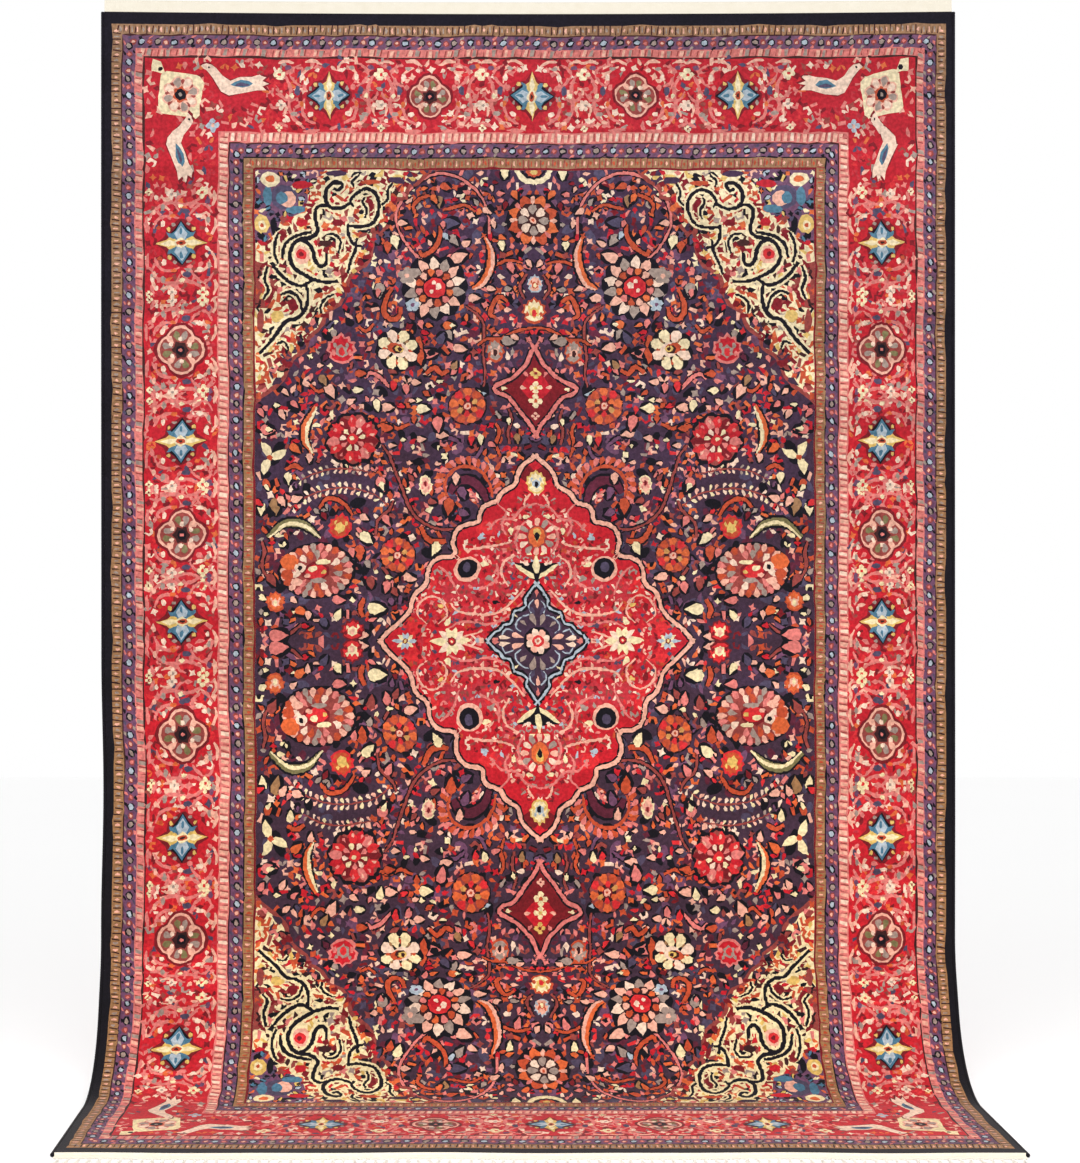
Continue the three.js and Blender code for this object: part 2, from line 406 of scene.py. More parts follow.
def medallion():
    paint = stencil(0, 0)
    edge = [point for point in MEDALLION_EDGE if point[0] >= 0 and point[1] >= 0]
    paint("madder", [(-2, -2), (378, -2)] + edge[::-1] + [(-2, 444)])
    # brighter and duller patches of the red ground
    ovals(paint, ((112, 268, 34, 18, "scarlet"), (300, 40, 34, 12, "scarlet"),
                  (120, 120, 60, 30, "faded_red"), (250, 130, 12, 34, "scarlet"),
                  (60, 200, 30, 40, "faded_red"), (170, 60, 60, 24, "faded_red"),
                  (60, 270, 34, 22, "faded_red"), (200, 120, 30, 30, "faded_red"), (20, 400, 20, 20, "deep")),
                  10)
    ribbon(paint, "ink", MEDALLION_EDGE, 17, steps=3)
    ribbon(paint, "blush", MEDALLION_EDGE, 9.5, steps=3)
    # the hooked notch between the two lobes
    paint("blush", oval(32, 31, 164, 171, 14))
    paint("ink", oval(25, 24, 164, 173, 12))
    paint("slate", oval(11, 13, 166, 176, 8))
    ribbon(paint, "blush", ((186, 196), (194, 204), (202, 206)), 9)
    # the small filling keeps off these discs, where the larger drawing goes
    discs = [(205, 0, 44), (316, 0, 24), (0, 250, 46), (0, 386, 30), (0, 160, 26), (164, 172, 38)]
    sprinkle(11, (0, 0), (330, 430), 14.5, deep_in_medallion, discs,
             ("rose", "rose", "blush", "blush", "shell", "stone", "stone", "deep", "deep", "scarlet", "sky",
              "rosewood", "rust", "slate", "faded_red"), sizes=(0.4, 0.54))
    # scrolls on the red ground
    tendrils(paint, (
        (((0, 330), (34, 318), (58, 292), (92, 288), (118, 262)), "rose", 6),
        (((60, 236), (96, 226), (134, 222), (172, 216)), "blush", 6),
        (((30, 124), (56, 96), (96, 66), (142, 62), (186, 70), (206, 92)), "blush", 6),
        (((30, 96), (74, 56), (120, 38), (176, 46), (214, 30)), "rose", 6),
        (((236, 42), (216, 62), (222, 92), (250, 108), (278, 92), (284, 62), (262, 42)), "blush", 5),
        (((186, 110), (198, 140), (214, 166), (232, 178)), "rose", 6),
        (((66, 130), (84, 160), (76, 190), (52, 204)), "blush", 6),
        (((96, 184), (92, 152), (112, 132), (136, 120)), "rose", 6),
        (((20, 292), (44, 268), (50, 236), (36, 208)), "rose", 6),
        (((130, 22), (170, 10), (190, 6)), "blush", 5),
        (((96, 330), (74, 306), (84, 276), (72, 252)), "rose", 6),
        (((14, 352), (26, 338), (30, 322)), "blush", 6),
    ))
    buds(((36, 276, -30, 18, "blush"), (60, 252, 80, 20, "ivory"), (112, 180, 10, 22, "ivory"),
          (100, 140, 40, 22, "stone"), (206, 58, -60, 24, "ivory"), (262, 66, 90, 24, "deep"),
          (120, 246, 0, 20, "sky"), (16, 300, -10, 18, "ivory"), (88, 92, 0, 18, "ink"),
          (130, 34, 10, 20, "slate"), (238, 88, 200, 16, "gold"), (10, 206, 30, 16, "ivory")), 0.6)
    # the side flowers, of cream leaves laid outwards
    for x, middle, size, dyes in ((205, "scarlet", 1.0, ("ivory", "shell", "ivory")),
                                  (316, "gold", 0.6, ("sky", "ivory", "sky"))):
        flower = stencil(x, 0, 0, size)
        for angle, length, dye in ((0, 50, dyes[0]), (38, 36, dyes[1]), (72, 32, dyes[2]), (180, 44, dyes[0]),
                                   (142, 36, dyes[1]), (108, 32, dyes[2])):
            flower(dye, leaf(length, 17, 1, 3) @ facing(angle))
        flower("deep", oval(11, points=8))
        flower(middle, oval(7, points=7))
        flower("ivory", oval(3, points=5))
    # the upper palmette and the finial above it
    upper = stencil(0, 250, mirrors=TWO_ENDS)
    ring_of_petals(upper, 12, 20, drop(26, 14), ("blush", "shell", "stone"))
    upper("rosewood", oval(25, 28, points=10))
    upper("orange", oval(21, 25, points=10))
    upper("gold", drop(34, 20, -14) @ facing(90))
    upper("ink", drop(24, 13, -12) @ facing(90))
    finial = stencil(0, 352, mirrors=TWO_ENDS)
    palmette(finial, 50, 60, "gold", "ivory", "sky", "ink")
    # the winged bud over the middle lozenge
    wing = stencil(0, 150)
    wing("ink", ((0, -10), (18, 4), (42, 24), (52, 38), (30, 34), (10, 38), (0, 40)))
    wing("ivory", ((4, -2), (20, 4), (40, 18), (54, 34), (38, 30), (22, 18), (8, 10)))
    wing("ivory", ((-1, 12), (6, 14), (9, 30), (5, 46), (0, 58), (-1, 58)))
    wing("shell", oval(6, 5, 24, 34, 6))
    heart_of_medallion(paint)


def heart_of_medallion(paint):
    """The small dark lozenge in the middle, with its open flower."""
    edge = ((-6, 141), (8, 126), (22, 108), (28, 98), (26, 84), (40, 74), (56, 70), (60, 56), (66, 42),
            (82, 38), (92, 26), (108, 14), (122, -6))
    paint("night", [(-2, -2), (116, -2)] + list(edge[-2:0:-1]) + [(-2, 136)])
    ribbon(paint, "ink", edge, 15, steps=2)
    ribbon(paint, "sky", edge, 5, steps=2)
    for points in (((20, 62), (36, 58), (50, 46), (52, 30), (40, 20)), ((58, 22), (76, 28), (86, 12)),
                   ((8, 98), (20, 84), (14, 66))):
        ribbon(paint, "slate", points, 7, 0.4, 2)
        ribbon(paint, "sky", points, 3.5, 0.4, 2)
    buds(((34, 6, 18, 30, "blush"), (66, 5, 10, 26, "shell"), (90, 3, 0, 18, "rose"),
          (6, 36, 72, 30, "stone"), (6, 62, 60, 22, "slate"), (0, 76, 90, 24, "blush"),
          (0, 104, 90, 18, "rose"), (28, 34, 45, 20, "stone"), (46, 56, 30, 12, "ivory")), 0.46)
    middle = stencil(0, 0, 22, mirrors=ONCE)
    middle("ink", oval(34, points=14))
    ring_of_petals(middle, 8, 0, drop(28, 17, 2), ("shell", "blush"))
    middle("scarlet", oval(14, points=9))
    middle("shell", oval(8, points=8))
    middle("rust", oval(4, points=6))


def pendant():
    """The red pointed star above and below the medallion."""
    edge = ((-6, 710), (6, 694), (18, 668), (38, 646), (58, 628), (84, 616), (98, 604), (88, 592), (64, 584),
            (48, 562), (32, 540), (14, 518), (4, 500), (-6, 486))
    paint = stencil(0, 0)
    inside = [point for point in edge if point[0] >= 0]
    paint("deep", [(-2, 492), (-2, 704)] + inside)
    paint("madder", ((-2, 566), (20, 584), (38, 606), (20, 630), (-2, 650)))
    ribbon(paint, "ink", edge, 17, steps=3)
    ribbon(paint, "rose", edge, 9, steps=3)
    for y, radius, petal, middle in ((574, 17, "ivory", "rust"), (606, 16, "ivory", "gold"),
                                     (640, 14, "gold", "deep"), (538, 10, "blush", "deep")):
        small_flower(stencil(0, y, mirrors=TWO_ENDS), radius, petal, middle, 4)
    for x, y, angle, dye in ((22, 606, 10, "blush"), (52, 606, 0, "deep"), (20, 580, -40, "deep"),
                             (18, 632, 50, "rose"), (66, 604, 0, "ivory")):
        stencil(x, y, angle)(dye, drop(16, 9))


def field_flowers():
    """The large flowers, in the places that give the field its order."""
    # orange rosettes beside the pendant and beside the medallion
    for x, y, radius in ((164, 562, 46), (330, 206, 43)):
        flower = stencil(x, y, 12)
        flower("ink", oval(radius * 1.02, points=14))
        flower("rosewood", lobed(radius * 0.98, radius * 0.14, 9))
        ring_of_petals(flower, 9, radius * 0.42, drop(radius * 0.54, radius * 0.48),
                       ("orange", "scarlet", "orange", "rust"))
        flower("brown", oval(radius * 0.5, points=10))
        ring_of_petals(flower, 6, radius * 0.16, drop(radius * 0.42, radius * 0.3),
                       ("orange", "scarlet", "ochre"), 20)
        flower("deep", oval(radius * 0.27, points=8))
        flower("blush", oval(radius * 0.19, points=7))
        flower("rust", oval(radius * 0.08, points=5))
    # the great open flowers inside the ring of vine
    great = stencil(240, 848, 10)
    great("ink", lobed(82, 8, 12))
    ring_of_petals(great, 14, 0, leaf(38, 24, 2, 38), ("shell", "stone", "blush"))
    great("brown", lobed(50, 6, 10))
    ring_of_petals(great, 12, 26, drop(21, 17), ("rust", "blush", "orange", "rose"), 8)
    great("ink", oval(31, 29, points=12))
    great("scarlet", oval(27, 25, points=12))
    great("madder", oval(15, 15, 8, -4, 8))
    for x, y, size in ((-9, 4, 8), (4, 12, 5), (6, -10, 5)):
        great("shell", oval(size, size * 1.1, x, y, 7))
    small_flower(stencil(306, 876), 22, "stone", "blush", 5)
    small_flower(stencil(292, 806), 17, "sky", "plum", 5)
    # cream flowers
    cream = stencil(328, 698, 15)
    cream("ink", lobed(55, 7, 8))
    ring_of_petals(cream, 8, 12, drop(38, 26), ("ivory", "shell", "ivory"), 10)
    ring_of_petals(cream, 8, 22, drop(14, 6), ("rust", "tan"), -12)
    cream("shell", oval(21, 18, -4, 1, 10))
    cream("rust", oval(20, 13, 6, 2, 9))
    cream("brown", oval(13, 10, 0, 0, 8))
    cream("gold", oval(11, 8, -4, 2, 7))
    cream("brown", oval(5, 5, -5, 2, 6))
    # the flower at the top of the long axis
    crown = stencil(0, 1010, 0, mirrors=TWO_ENDS)
    crown("ink", oval(66, 64, points=16))
    ring_of_petals(crown, 8, 0, leaf(36, 30, 0, 28), ("rust", "orange"), 22.5)
    ring_of_petals(crown, 8, 36, drop(22, 11), ("blush", "rose"))
    crown("brown", lobed(42, 4, 8))
    ring_of_petals(crown, 8, 10, drop(28, 20), ("stone", "shell"))
    crown("brown", oval(14, points=9))
    crown("blush", oval(9, points=8))
    crown("rust", oval(4, points=6))
    ribbon(stencil(0, 0), "ivory", ((-2, 1102), (16, 1105), (32, 1116), (42, 1136)), 13, 0.1)
    ribbon(stencil(0, 0), "ink", ((-2, 1112), (12, 1115), (24, 1124), (30, 1138)), 5, 0.1)
    stencil(0, 0)("rust", oval(20, 14, 0, 1128, 8))
    stencil(0, 0)("gold", oval(9, 7, 0, 1126, 7))
    # great palmettes
    big = stencil(436, 482, 8)
    big("ink", lobed(68, 8, 9))
    big("rosewood", lobed(60, 9, 9))
    ring_of_petals(big, 15, 0, leaf(36, 25, 3, 28), ("madder", "scarlet", "deep", "scarlet", "rose"), 6,
                   (1, 0.92))
    ring_of_petals(big, 13, 40, drop(12, 7), ("rose", "blush"), 20)
    big("deep", oval(33, 30, points=12))
    ring_of_petals(big, 9, 14, drop(17, 12), ("shell", "ivory", "rose"))
    big("scarlet", oval(14, points=9))
    big("ivory", oval(6, 5, 2, 2, 6))
    side = stencil(522, 168)
    side("ink", oval(93, 69, points=20))
    side("rosewood", oval(85, 62, points=18))
    for ring, (count, length, width, reach, dyes) in enumerate((
            (26, 25, 15, 58, ("blush", "stone", "rose", "blush", "rust")),
            (18, 24, 16, 36, ("rose", "rosewood", "shell", "rust", "stone")))):
        for i in range(count):
            angle = (i + 0.5 * ring) * 360 / count
            place = polar(angle) * (reach * 1.06, reach * 0.72)
            side(dyes[i % len(dyes)], drop(length, width) @ facing(angle) + place)
    ovals(side, ((66, 22, 22, 20, "orange"), (70, -8, 15, 13, "rust"), (48, -26, 14, 10, "blush"),
                 (4, -2, 34, 24, "deep"), (2, -3, 26, 17, "scarlet"), (40, 8, 14, 12, "shell"),
                 (40, 8, 6, 6, "ink"), (-14, 20, 18, 6, "ivory"), (-4, -24, 20, 6, "stone"),
                 (10, 4, 10, 7, "ivory"), (-16, -4, 6, 5, "gold"), (22, -12, 8, 5, "blush")))
    # the smaller palmettes between them
    for x, y, tilt, width, height, dyes in (
        (440, -2, 0, 58, 56, ("deep", "scarlet", "ivory", "blush")),
        (462, 662, 0, 74, 76, ("rose", "madder", "stone", "scarlet")),
        (474, 244, 10, 60, 62, ("scarlet", "rust", "gold", "gold")),
        (622, 70, 0, 48, 52, ("rust", "orange", "blush", "ivory")),
        (94, 664, 0, 46, 62, ("rust", "stone", "blush", "brown")),
        (264, 398, 180, 34, 50, ("ivory", "blush", "rose", "deep")),
        (0, 760, 0, 60, 66, ("rust", "ivory", "gold", "scarlet")),
        (0, 836, 0, 40, 44, ("sky", "blush", "rust", "ivory")),
    ):
        palmette(stencil(x, y, tilt), width, height, *dyes)
    # the cream trefoil at the field's edge
    trefoil = stencil(634, 440)
    for angle in (60, 155, 290):
        trefoil("ivory", leaf(44, 22, 3) @ facing(angle))
    trefoil("rust", oval(7))


def vines():
    """Tendrils that tie the flowers together."""
    paint = stencil(0, 0)
    for points, dye, width in (
        (((105, 975), (108, 1020), (122, 1062), (154, 1098), (190, 1118), (226, 1124), (262, 1112),
          (296, 1088), (322, 1050), (330, 1010), (316, 968), (288, 930), (268, 914)), "rose", 8),
        (((196, 268), (222, 266), (254, 276), (284, 296), (306, 326), (320, 362), (332, 400), (346, 440),
          (366, 470)), "rosewood", 8),
        (((166, 802), (140, 784), (122, 760), (120, 720), (124, 680), (120, 640), (124, 606)), "rosewood", 7),
        (((0, 752), (40, 744), (80, 722), (112, 722), (136, 706)), "rust", 8),
        (((140, 1030), (166, 1046), (196, 1040), (218, 1036)), "rust", 9),
        (((250, 1070), (274, 1062), (288, 1044), (282, 1024)), "rust", 11),
        (((222, 998), (226, 966), (244, 940), (268, 926), (276, 938)), "rust", 13),
        (((28, 906), (60, 912), (92, 902), (104, 886)), "rust", 8),
        (((20, 880), (36, 848), (22, 820)), "rosewood", 8),
        (((64, 812), (84, 824), (100, 804), (106, 782), (94, 774)), "rust", 13),
        (((320, 800), (324, 776), (344, 770), (360, 790), (356, 818), (344, 842)), "rust", 14),
        (((282, 690), (274, 706), (280, 730)), "rust", 15),
        (((206, 648), (224, 640), (240, 656), (262, 640)), "rust", 14),
        (((420, 880), (436, 900), (442, 930)), "rose", 6),
        (((350, 606), (372, 630), (396, 640), (410, 628)), "rose", 11),
        (((386, 760), (402, 742), (420, 752)), "rust", 10),
        (((60, 470), (66, 500), (58, 530), (66, 556)), "rosewood", 8),
        (((84, 440), (92, 470), (86, 500), (96, 520)), "rust", 9),
        (((216, 240), (238, 236), (262, 246), (276, 276)), "rust", 16),
        (((366, 130), (352, 152), (366, 176)), "rosewood", 9),
        (((410, 100), (420, 76), (414, 56)), "rust", 14),
        (((300, 520), (330, 510), (356, 520), (380, 510)), "rust", 10),
        (((440, 300), (462, 330), (498, 340), (520, 318)), "rust", 11),
        (((640, 150), (652, 180), (648, 214), (656, 240)), "rosewood", 9),
        (((556, 410), (576, 420), (596, 410)), "rust", 12),
        (((470, 590), (498, 604), (520, 596), (540, 614)), "rust", 9),
        (((560, 40), (590, 18), (620, 20)), "rosewood", 9),
        (((384, 250), (380, 286), (352, 312), (340, 336)), "rosewood", 8),
        (((176, 470), (200, 486), (226, 480)), "plum", 10),
        (((126, 466), (140, 440), (170, 436)), "plum", 9),
    ):
        ribbon(paint, "ink", points, width + 5, 0.3, 3)
        ribbon(paint, dye, points, width * 0.85, 0.3, 3)
    # curved sickle leaves
    for points, body, lit in (
        (((116, 968), (104, 934), (108, 894), (126, 858), (150, 844)), "orange", "blush"),
        (((528, 562), (546, 522), (550, 484), (536, 452)), "orange", "ivory"),
        (((518, 248), (552, 278), (600, 282), (642, 250)), "olive", "ivory"),
    ):
        ribbon(paint, "ink", points, 30, 0.6)
        ribbon(paint, body, points, 19, 0.7)
        ribbon(paint, lit, np.array(points, float) + (-4, -3), 9, 0.6)
    # feather fans at the medallion's shoulders, and garlands of white buds over the great palmettes
    for dye, width in (("ink", 34), ("mulberry", 22)):
        ribbon(paint, dye, ((118, 330), (132, 366), (160, 384), (190, 378), (206, 352)), width, 0.4, 3)
    comb_leaf(paint, ((104, 342), (110, 376), (134, 406), (170, 418), (204, 402), (218, 370), (212, 344)),
              "rust", ("rose", "rust"), 24, 10, (1,), 8)
    comb_leaf(paint, ((140, 330), (150, 352), (172, 360), (190, 346)), "rose", ("blush", "rose"), 12, 9,
              (-1,), 6)
    comb_leaf(paint, ((352, 322), (386, 350), (430, 362), (476, 364), (520, 358), (560, 340), (590, 316)),
              "rosewood", ("shell", "ivory", "blush"), 15, 16, (-1, 1), 4)
    comb_leaf(paint, ((392, 402), (430, 408), (474, 412), (520, 404), (560, 386)), "rosewood",
              ("blush", "shell", "stone", "ivory"), 12, 15, (-1, 1), 4)


SMALL_BUDS = (
    # x, y, direction, length, dye
    (30, 530, 60, 26, "blush"), (64, 516, 90, 18, "ivory"), (40, 470, 80, 26, "tan"),
    (92, 466, 20, 22, "rose"), (130, 468, 90, 26, "ivory"), (152, 466, 90, 24, "scarlet"),
    (206, 492, 10, 34, "blush"), (230, 500, 82, 40, "rose"), (232, 458, 90, 12, "ivory"),
    (293, 458, 90, 13, "ivory"), (224, 426, 0, 17, "blush"), (290, 426, 0, 17, "blush"),
    (260, 484, 0, 24, "blush"), (308, 482, 0, 15, "ivory"), (330, 468, 0, 22, "blush"),
    (290, 520, 90, 22, "rust"), (250, 556, 0, 36, "ivory"), (340, 510, 0, 30, "rust"),
    (336, 560, 0, 34, "blush"), (308, 592, 80, 26, "rose"), (342, 598, 95, 26, "scarlet"),
    (130, 596, 0, 24, "ivory"), (116, 590, 0, 18, "sky"), (376, 548, 80, 30, "ivory"),
    (184, 756, 0, 34, "orange"), (186, 756, 0, 16, "ivory"), (232, 688, 0, 42, "rose"),
    (240, 690, 0, 18, "ink"), (128, 822, 0, 32, "blush"), (92, 840, 20, 24, "blush"),
    (52, 842, 0, 22, "stone"), (40, 718, 0, 38, "stone"), (36, 722, 30, 22, "blush"),
    (160, 698, 10, 36, "blush"), (186, 672, -60, 26, "tan"), (272, 620, 0, 26, "blush"),
    (70, 1106, 90, 34, "ivory"), (66, 1074, 0, 22, "rose"), (60, 1000, 0, 16, "stone"),
    (100, 1024, 30, 26, "blush"), (84, 1100, 0, 14, "deep"), (76, 934, 90, 28, "ivory"),
    (92, 990, 70, 22, "blush"), (160, 928, -20, 44, "blush"), (180, 948, 50, 34, "stone"),
    (204, 962, 60, 22, "sky"), (150, 960, -30, 26, "blush"), (196, 1086, 20, 30, "rust"),
    (226, 1040, 90, 30, "tan"), (232, 1050, 60, 26, "orange"), (300, 1004, 0, 26, "blush"),
    (176, 1004, 0, 42, "slate"), (214, 990, 80, 20, "rose"), (330, 940, 80, 36, "ivory"),
    (352, 930, 90, 30, "rust"), (372, 950, 60, 30, "slate"), (50, 586, 30, 30, "plum"),
    (210, 300, 90, 42, "rust"), (250, 350, 80, 24, "rust"), (270, 350, 100, 22, "blush"),
    (236, 330, 20, 26, "rosewood"), (190, 372, 90, 30, "blush"), (170, 336, 70, 34, "plum"),
    (160, 300, 20, 30, "plum"), (250, 204, 115, 36, "ivory"), (284, 148, 15, 34, "blush"),
    (342, 152, 0, 18, "ivory"), (330, 106, 60, 28, "rosewood"), (360, 112, 100, 32, "rose"),
    (356, 76, 0, 48, "ivory"), (466, 76, -60, 30, "ivory"), (390, 232, 40, 40, "ivory"),
    (400, 288, 30, 26, "blush"), (350, 274, 60, 30, "rose"), (362, 356, 70, 40, "rose"),
    (364, 360, 70, 22, "ivory"), (620, 506, 0, 38, "rose"), (626, 508, 0, 20, "ivory"),
    (560, 450, 40, 34, "orange"), (540, 424, 90, 26, "blush"), (590, 374, 90, 30, "ivory"),
    (558, 346, -20, 30, "blush"), (620, 300, 80, 44, "tan"), (600, 320, 60, 30, "blush"),
    (658, 300, 95, 34, "ivory"), (652, 326, 30, 24, "scarlet"), (634, 362, 60, 30, "rust"),
    (638, 360, 60, 18, "ivory"), (546, 62, 30, 34, "orange"), (546, 48, 90, 24, "blush"),
    (600, 100, 0, 20, "ivory"), (640, 96, 30, 24, "ivory"), (636, 64, 0, 16, "ivory"),
    (590, 14, 0, 50, "rose"), (656, 60, 90, 16, "stone"), (400, 12, 0, 36, "blush"),
    (500, 30, 60, 30, "slate"), (396, 170, 70, 24, "stone"), (420, 190, 90, 40, "rust"),
    (436, 198, 80, 26, "rose"), (392, 120, 80, 34, "rosewood"), (620, 130, 60, 36, "rosewood"),
    (570, 92, 40, 22, "blush"), (452, 98, 0, 34, "rose"), (412, 600, 0, 26, "ivory"),
    (430, 580, -30, 24, "blush"), (480, 580, 60, 40, "blush"), (500, 610, 60, 30, "tan"),
    (506, 660, 0, 18, "blush"), (420, 760, 90, 26, "orange"), (372, 820, 90, 40, "stone"),
    (376, 824, 90, 22, "rose"), (330, 640, 30, 26, "rosewood"), (404, 640, 0, 30, "rust"),
    (590, 590, 40, 22, "blush"), (570, 560, 40, 22, "rose"), (610, 566, 0, 18, "ivory"),
    (600, 532, 60, 26, "blush"), (650, 536, 60, 24, "rose"), (480, 720, 90, 26, "stone"),
    (52, 880, 70, 30, "rose"), (36, 1060, 60, 26, "orange"), (66, 964, 20, 20, "orange"),
    (196, 720, 60, 28, "stone"), (268, 748, 80, 24, "rose"), (286, 770, 60, 22, "rosewood"),
    (214, 740, -60, 34, "slate"), (272, 660, 80, 44, "rust"),
)


def small_buds():
    for x, y, direction, length, dye in SMALL_BUDS:
        paint = stencil(x, y, direction)
        paint("ink", oval(length * 0.56, length * 0.44, length * 0.46, 0, 8))
        paint(dye, drop(length, length * 0.62))


def taken_discs():
    """Where the large drawing already is, as (x, y, radius), so that the filling grows around it."""
    discs = [(x + 10, y + 6, 17) for x, y, direction, length, dye in SMALL_BUDS]
    discs += [(164, 562, 50), (330, 206, 48), (240, 848, 80), (300, 845, 36), (330, 698, 54), (0, 1010, 66),
              (0, 1120, 40), (440, 486, 62), (528, 172, 92), (440, 26, 34), (462, 700, 44), (474, 274, 38),
              (622, 96, 30), (94, 694, 30), (264, 376, 28), (0, 790, 40), (0, 856, 26), (634, 440, 44),
              (0, 600, 60), (60, 606, 40), (0, 540, 34), (0, 670, 34), (170, 410, 46), (140, 396, 34),
              (460, 372, 44), (400, 350, 40), (540, 368, 36), (500, 400, 30)]
    return discs


def in_medallion(x, y):
    return x < 392 and y < edge_at(MEDALLION_EDGE, x) + 14


SPANDREL_EDGE = (
    (246, 1136), (262, 1116), (280, 1100), (302, 1092), (306, 1066), (330, 1060), (334, 1034), (346, 1004),
    (362, 986), (384, 978), (388, 948), (392, 924), (408, 900), (432, 886), (446, 868), (452, 838),
    (466, 806), (496, 790), (506, 762), (520, 744), (540, 728), (548, 700), (572, 684), (590, 664),
    (598, 636), (618, 614), (646, 594), (676, 566),
)


def in_spandrel(x, y):
    return x > 246 and y > edge_at(SPANDREL_EDGE, x) - 8


def in_open_field(x, y):
    in_field = 3 < x < FIELD_X - 5 and 3 < y < FIELD_Y - 5
    return in_field and not in_medallion(x, y) and not in_spandrel(x, y)


def field_shadows():
    """Darker and lighter patches of the blue ground."""
    draw = random.Random(5)
    for x, y in scattered(draw, (0, 0), (FIELD_X, FIELD_Y), 38):
        paint = stencil(x, y, draw.uniform(0, 180))
        dye = draw.choice(("ink", "ink", "plum", "slate", "night", "night", "mulberry"))
        width = draw.uniform(12, 22)
        if in_open_field(x, y):
            paint(dye, oval(width, width * 0.6, 0, 0, 8))


FIELD_DYES = ("rose", "rose", "rose", "rust", "rust", "rust", "rust", "blush", "blush", "rosewood",
              "rosewood", "madder", "madder", "scarlet", "ivory", "shell", "slate", "stone", "plum", "orange",
              "orange", "mulberry", "deep")


def field_filling():
    """Small leaves, buds and blossoms between the flowers, as close as on such a field."""
    sprinkle(41, (0, 0), (FIELD_X, FIELD_Y), 19, in_open_field, taken_discs(), FIELD_DYES,
             ("ink", None, None, None, None), sizes=(0.42, 0.6))


# ---- Corners of the field ----

CORNER_EDGE = ((500, FIELD_Y + 6), (516, 1106), (540, 1082), (546, 1044), (570, 1022), (606, 1014),
               (618, 980), (640, 962), (FIELD_X + 6, 952))


def in_corner(x, y):
    """The blue patch in the very corner, beyond the cream."""
    return 500 < x < FIELD_X and edge_at(CORNER_EDGE, x) < y < FIELD_Y


def in_cream(x, y):
    return 262 < x < FIELD_X and edge_at(SPANDREL_EDGE, x) + 10 < y < FIELD_Y and not in_corner(x, y)


SCROLLS = (
    (((450, 996), (420, 992), (388, 1000), (374, 1022), (370, 1050), (380, 1074), (402, 1084), (424, 1074),
      (438, 1056), (430, 1042)), 8),
    (((440, 1050), (462, 1038), (486, 1040), (500, 1058), (496, 1084), (478, 1100), (460, 1096), (468, 1082),
      (480, 1086)), 9),
    (((484, 1040), (508, 1046), (524, 1034), (524, 1008), (518, 984), (534, 968), (560, 964), (580, 950),
      (588, 922), (576, 894), (552, 878), (526, 866), (500, 860), (472, 862)), 9),
    (((500, 930), (502, 906), (516, 900), (528, 914), (532, 938), (546, 956), (568, 962)), 9),
    (((532, 980), (556, 976), (584, 966), (602, 946), (606, 918)), 8),
    (((534, 866), (560, 852), (590, 862), (610, 880), (624, 898)), 8),
    (((548, 860), (544, 828), (550, 796), (570, 774), (592, 768), (606, 752), (622, 730), (640, 710),
      (660, 690)), 9),
    (((424, 966), (430, 934), (442, 908), (450, 880)), 7),
    (((446, 1000), (444, 972), (432, 950), (412, 944)), 7),
    (((612, 980), (622, 960), (624, 930), (616, 906)), 7),
    (((556, 790), (566, 822), (588, 838), (610, 830)), 7),
    (((404, 1012), (400, 1034), (410, 1052), (404, 1064)), 6),
    (((470, 930), (464, 956), (476, 974), (496, 976)), 6),
    (((340, 1100), (352, 1080), (350, 1060), (362, 1046)), 6),
    (((480, 830), (500, 822), (514, 804), (512, 784)), 6),
    (((590, 700), (600, 716), (618, 712)), 6),
    (((420, 1118), (436, 1104), (432, 1090)), 6),
    (((640, 900), (648, 870), (640, 844), (652, 820)), 7),
)


